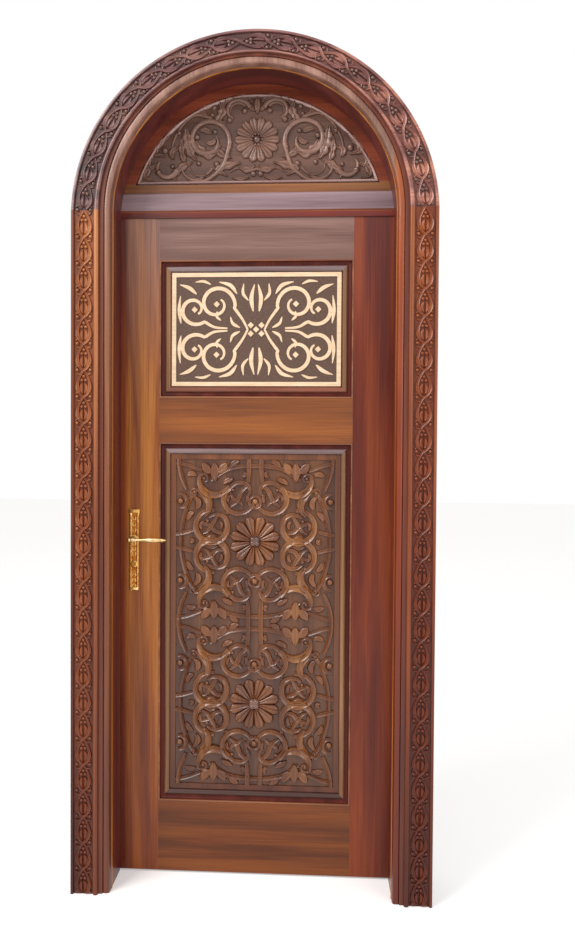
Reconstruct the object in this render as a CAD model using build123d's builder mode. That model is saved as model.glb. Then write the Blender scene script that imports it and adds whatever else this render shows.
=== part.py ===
import os
from math import asin, cos, degrees, radians, sin

from build123d import *

os.makedirs("parts", exist_ok=True)

# All lengths are millimetres. X runs to the right, Y away from the viewer, Z up from the floor.

# Doorway, jambs and their front moulding
reveal_half_width = 452.0
spring_height = 2180.0
jamb_thickness = 45.0
jamb_depth = 163.0
rebate_width = 13.0
stop_gap = 1.0
torus_radius = 12.5
torus_flat_share = 0.45
torus_gap = 1.0
fixing_hole_radius = 4.0
lower_fixing_height = 450.0
upper_fixing_drop = 480.0

# Carved casing: bead, carved band and outer fillet, on the legs and at the crown
casing_thickness = 42.0
leg_bead = 24.0
leg_band = 63.0
leg_fillet = 10.0
crown_bead = 9.0
crown_band = 55.0
crown_fillet = 9.0
band_depth = 9.0
fillet_drop = 2.0
arch_chords = 24

# Guilloche of crossing ribbons on the casing
leg_loop_count = 26
arch_loop_count = 19
ribbon_width = 10.0
ribbon_relief = 8.0
loop_half_width = 27.0
loop_lap = 7.0
loop_shoulder_share = 0.42

# Door leaf: stiles, rails and the two panel openings
leaf_thickness = 45.0
leaf_gap = 4.0
floor_gap = 6.0
stile_width = 139.0
leaf_above_spring = 27.0
bottom_rail_height = 237.5
lock_rail_height = 149.0
upper_opening_height = 457.0
top_rail_height = 150.0
groove_depth = 12.0
panel_front_recess = 16.0
panel_back_recess = 12.0
panel_play = 2.0
seat_gap = 0.2
overrun = 5.0

# Panel mouldings: outer lip, cove, torus and inner flat
lip_width = 5.0
lip_proud = 2.0
cove_width = 14.0
cove_height = 5.0
roll_width = 18.0
roll_height = 13.0
roll_shoulder_share = 0.3
flat_height = 4.0
upper_flat_width = 3.0
lower_flat_width = 19.0

# Carved lower panel: two equal units of strapwork round a rosette
strap_width = 15.0
strap_relief = 8.0
rosette_radius = 86.0
rosette_petals = 12
rosette_relief = 9.0
boss_radius = 21.0
boss_relief = 13.0
ring_sides = 8
eye_sides = 6
valley_share = 0.8
round_tip_shares = (0.28, 0.72)
sharp_tip_shares = (0.5,)

# Plaque on the upper panel, with its border and inlaid scrollwork
plaque_thickness = 4.0
border_width = 14.0
inlay_height = 3.0
inlay_stroke = 13.0
inlay_margin = 8.0

# Transom and the fixed lunette above it
stop_lap = 12.0
transom_nose = 10.0
transom_step = 5.0
transom_step_height = 20.0
transom_face_height = 60.0
transom_chamfer = 3.0
lunette_rail_height = 30.0
lunette_frame_width = 29.0
lunette_recess = 12.0
lunette_thickness = 25.0
lunette_seat = 10.0
seat_chords = 14
lunette_margin = 11.0
lunette_rosette_radius = 75.0
lunette_petals = 16
lunette_boss_radius = 22.0
lunette_relief = 7.0
lunette_boss_relief = 11.0
vine_width = 13.0
berry_radius = 10.0
berry_sides = 5

# Lift-off hinges
hinge_height = 120.0
hinge_width = 30.0
hinge_plate = 2.5
knuckle_radius = 7.0
knuckle_gap = 0.5
pin_radius = 4.0
pin_length = 50.0
pin_clearance = 0.08
knuckle_sides = 8
low_hinge_height = 250.0
high_hinge_drop = 257.0

# Lock, strike and lever handles
lever_height = 1128.0
backset = 56.0
key_drop = 85.0
case_depth = 90.0
case_above = 50.0
case_below = 115.0
case_thickness = 15.0
forend_thickness = 3.0
forend_width = 22.0
forend_above = 70.0
forend_below = 140.0
bolt_thickness = 12.0
latch_rise = 24.0
latch_height = 28.0
latch_throw = 12.0
latch_length = 45.0
dead_bolt_drop = 48.0
dead_bolt_height = 34.0
dead_bolt_length = 48.0
bolt_clearance = 0.5
strike_thickness = 2.0
strike_depth = 26.0
key_radius = 8.5
key_proud = 2.0
key_sides = 10
plate_width = 30.0
plate_length = 274.0
plate_above = 100.0
plate_thickness = 8.0
plate_chamfer = 3.0
plate_cap_width = 36.0
plate_cap_height = 14.0
plate_cap_flare = 8.0
lever_standoff = 46.0
lever_length = 116.0
lever_tail = 15.0
lever_belly = 8.5
neck_radius = 9.0
spindle_width = 8.0
spindle_insert = 22.0
hand_clearance = 0.3

# Places that follow from those sizes
overall_depth = casing_thickness + jamb_depth + lever_standoff + lever_belly
casing_front_y = -overall_depth / 2
casing_back_y = casing_front_y + casing_thickness
band_y = casing_front_y + band_depth
frame_back_y = casing_back_y + jamb_depth
leaf_back_y = frame_back_y
leaf_front_y = leaf_back_y - leaf_thickness
leaf_mid_y = (leaf_front_y + leaf_back_y) / 2
stop_y = leaf_front_y - stop_gap

jamb_outer = reveal_half_width + jamb_thickness
rebate_x = reveal_half_width + rebate_width
leaf_half_width = rebate_x - leaf_gap
opening_half_width = leaf_half_width - stile_width
casing_inner = reveal_half_width + 2 * torus_radius + torus_gap
band_inner = casing_inner + leg_bead
fillet_inner = band_inner + leg_band
casing_outer = fillet_inner + leg_fillet
band_centre = (band_inner + fillet_inner) / 2
band_rise = casing_inner + crown_bead
fillet_rise = band_rise + crown_band
outer_rise = fillet_rise + crown_fillet

leaf_bottom = floor_gap
leaf_top = spring_height + leaf_above_spring
bottom_rail_top = leaf_bottom + bottom_rail_height
top_rail_bottom = leaf_top - top_rail_height
lock_rail_top = top_rail_bottom - upper_opening_height
lock_rail_bottom = lock_rail_top - lock_rail_height
panel_front_y = leaf_front_y + panel_front_recess
panel_back_y = leaf_back_y - panel_back_recess
upper_moulding_width = lip_width + cove_width + roll_width + upper_flat_width
lower_moulding_width = lip_width + cove_width + roll_width + lower_flat_width

leaf_edge = -leaf_half_width
spindle_x = leaf_edge + backset
key_height = lever_height - key_drop
latch_height_centre = lever_height + latch_rise
dead_bolt_centre = lever_height - dead_bolt_drop
case_front_x = leaf_edge + forend_thickness
case_end_x = case_front_x + case_depth
spindle_window = spindle_width / 2**0.5 + hand_clearance
key_window = key_radius + hand_clearance
hinge_axis_x = rebate_x - leaf_gap / 2
hinge_axis_y = leaf_back_y + knuckle_radius + knuckle_gap
high_hinge_height = leaf_top - high_hinge_drop
middle_hinge_height = (low_hinge_height + high_hinge_height) / 2
hinge_heights = (low_hinge_height, middle_hinge_height, high_hinge_height)


# A plane that faces the viewer: its X is the door's X and its Y is the door's Z
def facing(y, z=0, x=0):
    return Plane(origin=(x, y, z), x_dir=(1, 0, 0), z_dir=(0, -1, 0))


# A square-edged block between two opposite corners
def block(low, high, mode=Mode.ADD):
    size = Vector(*high) - Vector(*low)
    with Locations((Vector(*low) + Vector(*high)) / 2):
        Box(size.X, size.Y, size.Z, mode=mode)


def polar(radius, angle):
    return (radius * cos(radians(angle)), radius * sin(radians(angle)))


# A flat strap bent round an arc, as a few straight facets
def strap_arc(centre, radius, width, start, sweep, steps):
    turns = [start + sweep * step / steps for step in range(steps + 1)]
    outer = [polar(radius + width / 2, turn) for turn in turns]
    inner = [polar(radius - width / 2, turn) for turn in reversed(turns)]
    with Locations(centre):
        Polygon(*outer, *inner, align=None)


# A straight strap between two points, narrowing to the share given at its far end
def strap_line(begin, end, width, end_share=1):
    along = Vector(*end) - Vector(*begin)
    across = Vector(-along.Y, along.X).normalized() * (width / 2)
    corners = (
        Vector(*begin) + across,
        Vector(*begin) - across,
        Vector(*end) - across * end_share,
        Vector(*end) + across * end_share,
    )
    Polygon(*[(corner.X, corner.Y) for corner in corners], align=None)


# A flower outline: each petal is a valley and a tip, which is sharp or has two shoulders
def rosette(radius, petals, tip_shares):
    pitch = 360 / petals
    points = []
    for petal in range(petals):
        points.append(polar(radius * valley_share, pitch * petal))
        for tip_share in tip_shares:
            points.append(polar(radius, pitch * (petal + tip_share)))
    Polygon(*points, align=None)


# Points along an arc, from one angle to the mirrored one on the left
def arc_points(radius, start, drop, chords):
    sweep = (180 - 2 * start) / chords
    spots = [polar(radius, start + sweep * chord) for chord in range(chords + 1)]
    return [(x, z - drop) for x, z in spots]


# An arch from its right spring point over the crown, true or in short chords
def arch_edge(half, crown, chords):
    radius = (half**2 + crown**2) / (2 * crown)
    drop = radius - crown
    if chords:
        Polyline(*arc_points(radius, degrees(asin(drop / radius)), drop, chords))
    else:
        ThreePointArc((half, 0), (0, crown), (-half, 0))


# A ring between two arches that spring from one level
def arch_ring(outer_half, outer_crown, inner_half, inner_crown, outer_chords=0, inner_chords=0):
    with BuildLine() as outline:
        arch_edge(outer_half, outer_crown, outer_chords)
        Line((-outer_half, 0), (-inner_half, 0))
        arch_edge(inner_half, inner_crown, inner_chords)
        Line((inner_half, 0), (outer_half, 0))
    make_face(outline.edges())


def write(builder, name):
    builder.part.label = name
    export_step(builder.part, f"parts/{name}.step")


def lozenge(half_length, half_width, mode=Mode.ADD):
    Polygon((0, half_length), (-half_width, 0), (0, -half_length), (half_width, 0), mode=mode)


# The guilloche: pointed ribbon loops, each with a pointed eye
def guilloche_loops(half_pitch):
    eye_half_width = loop_half_width - ribbon_width
    eye_half_length = half_pitch - loop_lap
    lozenge(half_pitch + loop_lap, loop_half_width)
    lozenge(eye_half_length, eye_half_width, mode=Mode.SUBTRACT)


# Straight casings
leg_half_pitch = spring_height / leg_loop_count / 2
leg_loop_spots = [(band_centre, leg_half_pitch * (2 * loop + 1)) for loop in range(leg_loop_count)]
casing_section = (
    (casing_inner, casing_back_y),
    (casing_inner, casing_front_y),
    (band_inner, casing_front_y),
    (band_inner, band_y),
    (fillet_inner, band_y),
    (fillet_inner, casing_front_y + fillet_drop),
    (casing_outer, casing_front_y + fillet_drop),
    (casing_outer, casing_back_y),
)

with BuildPart() as right_casing:
    with BuildSketch(Plane.XY):
        Polygon(*casing_section, align=None)
    extrude(amount=spring_height)
    with BuildSketch(facing(band_y)):
        with Locations(*leg_loop_spots):
            guilloche_loops(leg_half_pitch)
        with Locations((band_centre, spring_height / 2)):
            Rectangle(leg_band, spring_height, mode=Mode.INTERSECT)
    extrude(amount=ribbon_relief)
write(right_casing, "right_casing")

with BuildPart() as left_casing:
    mirror(right_casing.part, about=Plane.YZ)
write(left_casing, "left_casing")

# Arched casing, with the same lines drawn from the spring points to the crown
band_mid_rise = (band_rise + fillet_rise) / 2
band_arc_radius = (band_centre**2 + band_mid_rise**2) / (2 * band_mid_rise)
band_arc_drop = band_arc_radius - band_mid_rise
arch_start = degrees(asin(band_arc_drop / band_arc_radius))
arch_range = 180 - 2 * arch_start
arch_step = arch_range / arch_loop_count
arch_half_pitch = band_arc_radius * radians(arch_step) / 2

with BuildPart() as arch_casing:
    with BuildSketch(facing(casing_back_y, spring_height)):
        arch_ring(casing_outer, outer_rise, casing_inner, casing_inner)
    extrude(amount=casing_thickness - band_depth)
    with BuildSketch(facing(band_y, spring_height)):
        arch_ring(band_inner, band_rise, casing_inner, casing_inner, outer_chords=arch_chords)
    extrude(amount=band_depth)
    with BuildSketch(facing(band_y, spring_height)):
        arch_ring(casing_outer, outer_rise, fillet_inner, fillet_rise, inner_chords=arch_chords)
    extrude(amount=band_depth - fillet_drop)
    with BuildSketch(facing(band_y, spring_height - band_arc_drop)):
        with PolarLocations(
            band_arc_radius, arch_loop_count, arch_start + arch_step / 2, arch_range
        ):
            guilloche_loops(arch_half_pitch)
    extrude(amount=ribbon_relief)
    split(bisect_by=Plane.XY.offset(spring_height), keep=Keep.TOP)
write(arch_casing, "arch_casing")

# Jambs: a torus on the front edge and a rebate for the leaf at the back
torus_slope = torus_radius * (1 - torus_flat_share)
jamb_section = (
    (reveal_half_width, casing_back_y),
    (reveal_half_width + torus_slope, casing_back_y - torus_radius),
    (reveal_half_width + 2 * torus_radius - torus_slope, casing_back_y - torus_radius),
    (reveal_half_width + 2 * torus_radius, casing_back_y),
    (jamb_outer, casing_back_y),
    (jamb_outer, frame_back_y),
    (rebate_x, frame_back_y),
    (rebate_x, stop_y),
    (reveal_half_width, stop_y),
)


# A straight jamb with its two fixing holes, drilled in the rebate that the closed leaf hides
def straight_jamb(side):
    with BuildSketch(Plane.XY) as section:
        Polygon(*[(side * x, y) for x, y in jamb_section], align=None)
    extrude(section.sketch, amount=spring_height)
    drill_plane = Plane(origin=(side * rebate_x, leaf_mid_y, 0), x_dir=(0, 1, 0), z_dir=(side, 0, 0))
    with BuildSketch(drill_plane) as holes:
        with Locations((0, side * lower_fixing_height), (0, side * (spring_height - upper_fixing_drop))):
            Circle(fixing_hole_radius)
    extrude(holes.sketch, amount=jamb_thickness, mode=Mode.SUBTRACT)


with BuildPart() as right_jamb:
    straight_jamb(1)
    for height in hinge_heights:
        block(
            (rebate_x - overrun, leaf_back_y - hinge_width - seat_gap, height - hinge_height / 2 - seat_gap),
            (rebate_x + hinge_plate, leaf_back_y + overrun, height + hinge_height / 2 + seat_gap),
            mode=Mode.SUBTRACT,
        )
write(right_jamb, "right_jamb")

strike_low = lever_height - forend_below
strike_high = lever_height + forend_above
strike_pocket_x = -rebate_x - strike_depth
bolt_windows = (
    (latch_height_centre, latch_height),
    (dead_bolt_centre, dead_bolt_height),
)


# The openings that the two bolts pass through, cut between two X places
def cut_bolt_windows(low_x, high_x, clearance):
    for centre, height in bolt_windows:
        block(
            (low_x, leaf_mid_y - bolt_thickness / 2 - clearance, centre - height / 2 - clearance),
            (high_x, leaf_mid_y + bolt_thickness / 2 + clearance, centre + height / 2 + clearance),
            mode=Mode.SUBTRACT,
        )


with BuildPart() as left_jamb:
    straight_jamb(-1)
    block(
        (-rebate_x - strike_thickness, leaf_mid_y - forend_width / 2 - seat_gap, strike_low - seat_gap),
        (-rebate_x + overrun, leaf_mid_y + forend_width / 2 + seat_gap, strike_high + seat_gap),
        mode=Mode.SUBTRACT,
    )
    cut_bolt_windows(strike_pocket_x, -rebate_x, 2 * bolt_clearance)
write(left_jamb, "left_jamb")

with BuildPart() as arch_jamb:
    with BuildSketch(Plane.XY.offset(spring_height)):
        Polygon(*jamb_section, align=None)
    revolve(axis=Axis((0, 0, spring_height), (0, -1, 0)), revolution_arc=180)
    with BuildSketch(facing(frame_back_y, spring_height)):
        Polygon(*arc_points(jamb_outer, 0, 0, arch_chords), align=None)
    extrude(amount=jamb_depth + torus_radius, mode=Mode.INTERSECT)
write(arch_jamb, "arch_jamb")

with BuildPart() as strike_plate:
    block(
        (-rebate_x - strike_thickness, leaf_mid_y - forend_width / 2, strike_low),
        (-rebate_x, leaf_mid_y + forend_width / 2, strike_high),
    )
    cut_bolt_windows(-rebate_x - overrun, -rebate_x + overrun, 2 * bolt_clearance)
write(strike_plate, "strike_plate")

# Space inside the arched jamb: the reveal in front of the stop and the rebate behind it
with BuildPart() as arch_space:
    with BuildSketch(facing(frame_back_y, spring_height)):
        Circle(rebate_x - seat_gap)
    extrude(amount=frame_back_y - stop_y)
    with BuildSketch(facing(stop_y, spring_height)):
        Circle(reveal_half_width - seat_gap)
    extrude(amount=stop_y - casing_back_y)

# Transom bar over the leaf
nose_bottom = leaf_top - stop_lap
nose_y = leaf_front_y - transom_nose
transom_top = nose_bottom + transom_step_height + transom_face_height
transom_section = (
    (stop_y, nose_bottom),
    (nose_y + transom_step, nose_bottom),
    (nose_y + transom_step, nose_bottom + transom_step_height),
    (nose_y, nose_bottom + transom_step_height + transom_chamfer),
    (nose_y, transom_top - transom_chamfer),
    (nose_y + transom_chamfer, transom_top),
    (frame_back_y, transom_top),
    (frame_back_y, leaf_top + leaf_gap),
    (stop_y, leaf_top + leaf_gap),
)

with BuildPart() as transom_bar:
    with BuildSketch(Plane.YZ):
        Polygon(*transom_section, align=None)
    extrude(amount=rebate_x, both=True)
    add(arch_space.part, mode=Mode.INTERSECT)
write(transom_bar, "transom_bar")

# Lunette: a rebated half-round frame with a carved panel behind it
lunette_sight = reveal_half_width - lunette_frame_width
lunette_sill = transom_top + lunette_rail_height
lunette_front_y = stop_y + lunette_recess


# A half-round cut off flat at the given height above the floor, true or in short chords
def half_round(radius, floor_height, mode=Mode.ADD, chords=0):
    rise = floor_height - spring_height
    reach = (radius**2 - rise**2) ** 0.5
    if chords:
        Polygon(*arc_points(radius, degrees(asin(rise / radius)), 0, chords), align=None, mode=mode)
    else:
        with BuildLine() as outline:
            ThreePointArc((-reach, rise), (0, radius), (reach, rise))
            Line((reach, rise), (-reach, rise))
        make_face(outline.edges(), mode=mode)


with BuildPart() as lunette_frame:
    with BuildSketch(facing(frame_back_y, spring_height)):
        half_round(rebate_x - seat_gap, transom_top, chords=arch_chords)
        half_round(lunette_sight, lunette_sill, mode=Mode.SUBTRACT)
    extrude(amount=frame_back_y - stop_y)
    with BuildSketch(facing(frame_back_y, spring_height)):
        half_round(lunette_sight + lunette_seat, lunette_sill - lunette_seat, chords=seat_chords)
    extrude(amount=frame_back_y - lunette_front_y, mode=Mode.SUBTRACT)
write(lunette_frame, "lunette_frame")

# Places in the lunette are shares of its sight radius, measured from the rosette's centre
lunette_centre_z = lunette_sill + (spring_height + lunette_sight - lunette_sill) / 2
vine_table_shares = (
    (0.39, 0.0, 0.165, 20, 190, 4),
    (0.41, -0.01, 0.085, -60, 260, 4),
    (0.5, -0.03, 0.3, 40, 85, 3),
    (0.71, -0.17, 0.1, 170, 190, 3),
    (0.21, 0.19, 0.095, -20, 175, 3),
)
leaf_table_shares = (
    (0.0, 0.31, 0.0, 0.2, 0.085),
    (0.07, -0.215, 0.26, -0.2, 0.08),
    (0.52, 0.0, 0.62, -0.14, 0.1),
    (0.69, -0.04, 0.77, -0.1, 0.07),
)
berry_table_shares = (
    (0.1, 0.215),
    (0.33, 0.2),
    (0.32, -0.19),
)

with BuildPart() as lunette_panel:
    with BuildSketch(facing(lunette_front_y + lunette_thickness, spring_height)):
        half_round(
            lunette_sight + lunette_seat - seat_gap,
            lunette_sill - lunette_seat + seat_gap,
            chords=seat_chords,
        )
    extrude(amount=lunette_thickness)
    with BuildSketch(facing(lunette_front_y, spring_height)):
        with Locations((0, lunette_centre_z - spring_height)):
            for x_share, z_share, radius_share, start, sweep, steps in vine_table_shares:
                spot = (x_share * lunette_sight, z_share * lunette_sight)
                strap_arc(spot, radius_share * lunette_sight, vine_width, start, sweep, steps)
            for x_share, z_share, far_x_share, far_z_share, width_share in leaf_table_shares:
                begin = (x_share * lunette_sight, z_share * lunette_sight)
                end = (far_x_share * lunette_sight, far_z_share * lunette_sight)
                strap_line(begin, end, width_share * lunette_sight, loop_shoulder_share)
            for x_share, z_share in berry_table_shares:
                with Locations((x_share * lunette_sight, z_share * lunette_sight)):
                    RegularPolygon(berry_radius, berry_sides)
        mirror(about=Plane.YZ)
        half_round(
            lunette_sight - lunette_margin,
            lunette_sill + lunette_margin,
            mode=Mode.INTERSECT,
            chords=seat_chords,
        )
    extrude(amount=lunette_relief)
    with BuildSketch(facing(lunette_front_y, lunette_centre_z)):
        rosette(lunette_rosette_radius, lunette_petals, sharp_tip_shares)
    extrude(amount=rosette_relief)
    with BuildSketch(facing(lunette_front_y, lunette_centre_z)):
        RegularPolygon(lunette_boss_radius, ring_sides)
    extrude(amount=lunette_boss_relief)
write(lunette_panel, "lunette_panel")

# Hinges: the frame half carries the pin, the door half drops over it


# A hinge plate let into wood on one side of the gap, with its knuckle above or below the middle
def hinge_half(plate_low_x, low_z, high_z, knuckle_low_z, knuckle_high_z):
    block(
        (plate_low_x, leaf_back_y - hinge_width, low_z),
        (plate_low_x + hinge_plate, leaf_back_y, high_z),
    )
    block(
        (plate_low_x, leaf_back_y, knuckle_low_z),
        (plate_low_x + hinge_plate, hinge_axis_y, knuckle_high_z),
    )
    with BuildSketch(Plane(origin=(hinge_axis_x, hinge_axis_y, knuckle_low_z))) as knuckle:
        RegularPolygon(knuckle_radius, knuckle_sides)
    extrude(knuckle.sketch, amount=knuckle_high_z - knuckle_low_z)


with BuildPart() as hinge_frame_halves:
    for height in hinge_heights:
        low_z = height - hinge_height / 2
        hinge_half(rebate_x, low_z, height + hinge_height / 2, low_z, height - knuckle_gap / 2)
        with BuildSketch(Plane(origin=(hinge_axis_x, hinge_axis_y, height - knuckle_gap / 2))):
            Circle(pin_radius)
        extrude(amount=pin_length)
write(hinge_frame_halves, "hinge_frame_halves")

with BuildPart() as hinge_door_halves:
    for height in hinge_heights:
        high_z = height + hinge_height / 2
        hinge_half(
            leaf_half_width - hinge_plate, height - hinge_height / 2, high_z, height + knuckle_gap / 2, high_z
        )
        with BuildSketch(Plane(origin=(hinge_axis_x, hinge_axis_y, height))):
            RegularPolygon(pin_radius + pin_clearance, knuckle_sides, major_radius=False)
        extrude(amount=pin_length + knuckle_gap, mode=Mode.SUBTRACT)
write(hinge_door_halves, "hinge_door_halves")

# Stiles: full-height members with a groove along the inner edge for rails and panels
stile_section = (
    (leaf_half_width, leaf_front_y),
    (leaf_half_width, leaf_back_y),
    (opening_half_width, leaf_back_y),
    (opening_half_width, panel_back_y + seat_gap),
    (opening_half_width + groove_depth, panel_back_y + seat_gap),
    (opening_half_width + groove_depth, panel_front_y - seat_gap),
    (opening_half_width, panel_front_y - seat_gap),
    (opening_half_width, leaf_front_y),
)


# Square windows for the spindle and the key cylinder, hidden under the backplates
def cut_lock_windows():
    for height, half_width in ((lever_height, spindle_window), (key_height, key_window)):
        block(
            (spindle_x - half_width, leaf_front_y - overrun, height - half_width),
            (spindle_x + half_width, leaf_back_y + overrun, height + half_width),
            mode=Mode.SUBTRACT,
        )


with BuildPart() as hinge_stile:
    with BuildSketch(Plane.XY.offset(leaf_bottom)):
        Polygon(*stile_section, align=None)
    extrude(amount=leaf_top - leaf_bottom)
    for height in hinge_heights:
        recess_y = leaf_back_y - hinge_width - seat_gap
        block(
            (leaf_half_width - hinge_plate, recess_y, height - hinge_height / 2 - seat_gap),
            (leaf_half_width + overrun, leaf_back_y + overrun, height + hinge_height / 2 + seat_gap),
            mode=Mode.SUBTRACT,
        )
write(hinge_stile, "hinge_stile")

with BuildPart() as lock_stile:
    with BuildSketch(Plane.XY.offset(leaf_bottom)):
        Polygon(*[(-x, y) for x, y in stile_section], align=None)
    extrude(amount=leaf_top - leaf_bottom)
    block(
        (leaf_edge - overrun, leaf_mid_y - forend_width / 2 - seat_gap, strike_low - seat_gap),
        (case_front_x, leaf_mid_y + forend_width / 2 + seat_gap, strike_high + seat_gap),
        mode=Mode.SUBTRACT,
    )
    mortise_half = case_thickness / 2 + seat_gap
    block(
        (case_front_x - overrun, leaf_mid_y - mortise_half, lever_height - case_below - seat_gap),
        (case_end_x + seat_gap, leaf_mid_y + mortise_half, lever_height + case_above + seat_gap),
        mode=Mode.SUBTRACT,
    )
    cut_lock_windows()
write(lock_stile, "lock_stile")


# A rail with tongues in both stiles, and grooves along the edges that meet a panel
def rail(low_z, high_z, grooved_edges):
    tongue_reach = opening_half_width + groove_depth - seat_gap
    block((-opening_half_width, leaf_front_y, low_z), (opening_half_width, leaf_back_y, high_z))
    block((-tongue_reach, panel_front_y, low_z), (tongue_reach, panel_back_y, high_z))
    for edge in grooved_edges:
        block(
            (-tongue_reach - overrun, panel_front_y - seat_gap, edge - groove_depth),
            (tongue_reach + overrun, panel_back_y + seat_gap, edge + groove_depth),
            mode=Mode.SUBTRACT,
        )


with BuildPart() as bottom_rail:
    rail(leaf_bottom, bottom_rail_top, (bottom_rail_top,))
write(bottom_rail, "bottom_rail")

with BuildPart() as lock_rail:
    rail(lock_rail_bottom, lock_rail_top, (lock_rail_bottom, lock_rail_top))
write(lock_rail, "lock_rail")

with BuildPart() as top_rail:
    rail(top_rail_bottom, leaf_top, (top_rail_bottom,))
write(top_rail, "top_rail")


# A panel board that floats in the grooves round its opening
def panel_board(low_z, high_z):
    reach = groove_depth - panel_play
    block(
        (-opening_half_width - reach, panel_front_y, low_z - reach),
        (opening_half_width + reach, panel_back_y, high_z + reach),
    )


with BuildPart() as upper_panel:
    panel_board(lock_rail_top, top_rail_bottom)
write(upper_panel, "upper_panel")

# Strapwork of the lower panel. Places are shares of half a unit's width and height, for one quarter
sight_half_width = opening_half_width - lower_moulding_width
sight_low = bottom_rail_top + lower_moulding_width
sight_high = lock_rail_bottom - lower_moulding_width
unit_half_height = (sight_high - sight_low) / 4
unit_heights = (sight_low + unit_half_height, sight_high - unit_half_height)
unit_planes = [facing(panel_front_y, height) for height in unit_heights]
ring_table_shares = (
    (0.545, 0.195, 0.205),
    (0.21, 0.545, 0.19),
)
arc_table_shares = (
    (-0.2, 0.0, 1.09, -2, 40, 3),
    (0.0, -0.05, 0.94, 51, 41, 2),
    (0.51, 0.77, 0.195, -150, 150, 3),
)
curl_radius_share = 0.075
curl_height_share = 0.48


# One quarter of a unit, in the quarter's own right-hand upper corner
def strap_quarter():
    for x_share, z_share, radius_share, start, sweep, steps in arc_table_shares:
        spot = (x_share * sight_half_width, z_share * unit_half_height)
        strap_arc(spot, radius_share * sight_half_width, strap_width, start, sweep, steps)
    for x_share, z_share, radius_share in ring_table_shares:
        ring_radius = radius_share * sight_half_width + strap_width / 2
        with Locations((x_share * sight_half_width, z_share * unit_half_height)):
            RegularPolygon(ring_radius, ring_sides)
            RegularPolygon(ring_radius - strap_width, eye_sides, mode=Mode.SUBTRACT)


with BuildPart() as lower_panel:
    panel_board(bottom_rail_top, lock_rail_bottom)
    with BuildSketch(*unit_planes):
        strap_quarter()
        mirror(about=Plane.YZ)
        mirror(about=Plane.XZ)
        Rectangle(2 * sight_half_width, 2 * unit_half_height, mode=Mode.INTERSECT)
    extrude(amount=strap_relief)
    with BuildSketch(*unit_planes):
        rosette(rosette_radius, rosette_petals, round_tip_shares)
    extrude(amount=rosette_relief)
    with BuildSketch(*unit_planes):
        RegularPolygon(boss_radius, ring_sides)
        with Locations((0, curl_height_share * unit_half_height), (0, -curl_height_share * unit_half_height)):
            RegularPolygon(curl_radius_share * sight_half_width, ring_sides)
    extrude(amount=boss_relief)
write(lower_panel, "lower_panel")


# A length of panel moulding along one side of an opening, mitred at both ends
def moulding_length(begin, end, inward, depth, flat_width):
    along = (end - begin).normalized()
    width = lip_width + cove_width + roll_width + flat_width
    roll_start = lip_width + cove_width
    shoulder = roll_width * roll_shoulder_share
    section = (
        (0, 0),
        (0, depth + lip_proud),
        (lip_width, depth + lip_proud),
        (lip_width, cove_height),
        (roll_start, cove_height),
        (roll_start + shoulder, roll_height),
        (roll_start + roll_width - shoulder, roll_height),
        (roll_start + roll_width, flat_height),
        (width, flat_height),
        (width, 0),
    )
    with BuildSketch(Plane(origin=begin, x_dir=inward, z_dir=along)) as profile:
        Polygon(*section, align=None)
    extrude(profile.sketch, amount=(end - begin).length)
    split(bisect_by=Plane(origin=begin, z_dir=along - inward), keep=Keep.TOP)
    split(bisect_by=Plane(origin=end, z_dir=along + inward), keep=Keep.BOTTOM)


openings = (
    ("upper", lock_rail_top, top_rail_bottom, upper_flat_width),
    ("lower", bottom_rail_top, lock_rail_bottom, lower_flat_width),
)
leaf_sides = (
    ("front", panel_front_y, panel_front_recess, 1),
    ("back", panel_back_y, panel_back_recess, -1),
)
for opening_name, low_z, high_z, flat_width in openings:
    for face_name, face_y, depth, turn in leaf_sides:
        corners = [
            Vector(-turn * opening_half_width, face_y, low_z),
            Vector(turn * opening_half_width, face_y, low_z),
            Vector(turn * opening_half_width, face_y, high_z),
            Vector(-turn * opening_half_width, face_y, high_z),
        ]
        side_names = ("bottom", "right", "top", "left") if turn == 1 else ("bottom", "left", "top", "right")
        inwards = (Vector(0, 0, 1), Vector(-turn, 0, 0), Vector(0, 0, -1), Vector(turn, 0, 0))
        for side, side_name in enumerate(side_names):
            with BuildPart() as moulding:
                moulding_length(corners[side], corners[(side + 1) % 4], inwards[side], depth, flat_width)
            write(moulding, f"{opening_name}_{face_name}_moulding_{side_name}")

# Plaque: a dark ground board, a pale border strip and symmetrical scrollwork laid on it
plaque_half_width = opening_half_width - upper_moulding_width - seat_gap
plaque_low = lock_rail_top + upper_moulding_width + seat_gap
plaque_high = top_rail_bottom - upper_moulding_width - seat_gap
plaque_half_height = (plaque_high - plaque_low) / 2
plaque_centre = (plaque_low + plaque_high) / 2
plaque_face_y = panel_front_y - plaque_thickness
field_half_width = plaque_half_width - border_width - inlay_margin
field_half_height = plaque_half_height - border_width - inlay_margin

with BuildPart() as plaque_ground:
    with BuildSketch(facing(panel_front_y, plaque_centre)):
        Rectangle(2 * plaque_half_width, 2 * plaque_half_height)
    extrude(amount=plaque_thickness)
write(plaque_ground, "plaque_ground")

with BuildPart() as plaque_border:
    with BuildSketch(facing(plaque_face_y, plaque_centre)):
        Rectangle(2 * plaque_half_width, 2 * plaque_half_height)
        Rectangle(
            2 * (plaque_half_width - border_width),
            2 * (plaque_half_height - border_width),
            mode=Mode.SUBTRACT,
        )
    extrude(amount=inlay_height)
write(plaque_border, "plaque_border")

# Scrollwork of one quarter. Places are shares of the field's half width and half height,
# sizes are shares of its half height
scroll_table_shares = (
    (0.55, 0.46, 0.4, 200, -290, 5),
    (0.27, 0.0, 0.52, 20, 62, 1),
)
sprig_table_shares = (
    (0.78, 0.3, 0.93, 0.72, 0.2),
    (0.0, 0.62, 0.0, 0.94, 0.22),
)
star_petals = 8
star_radius_share = 0.36

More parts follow.
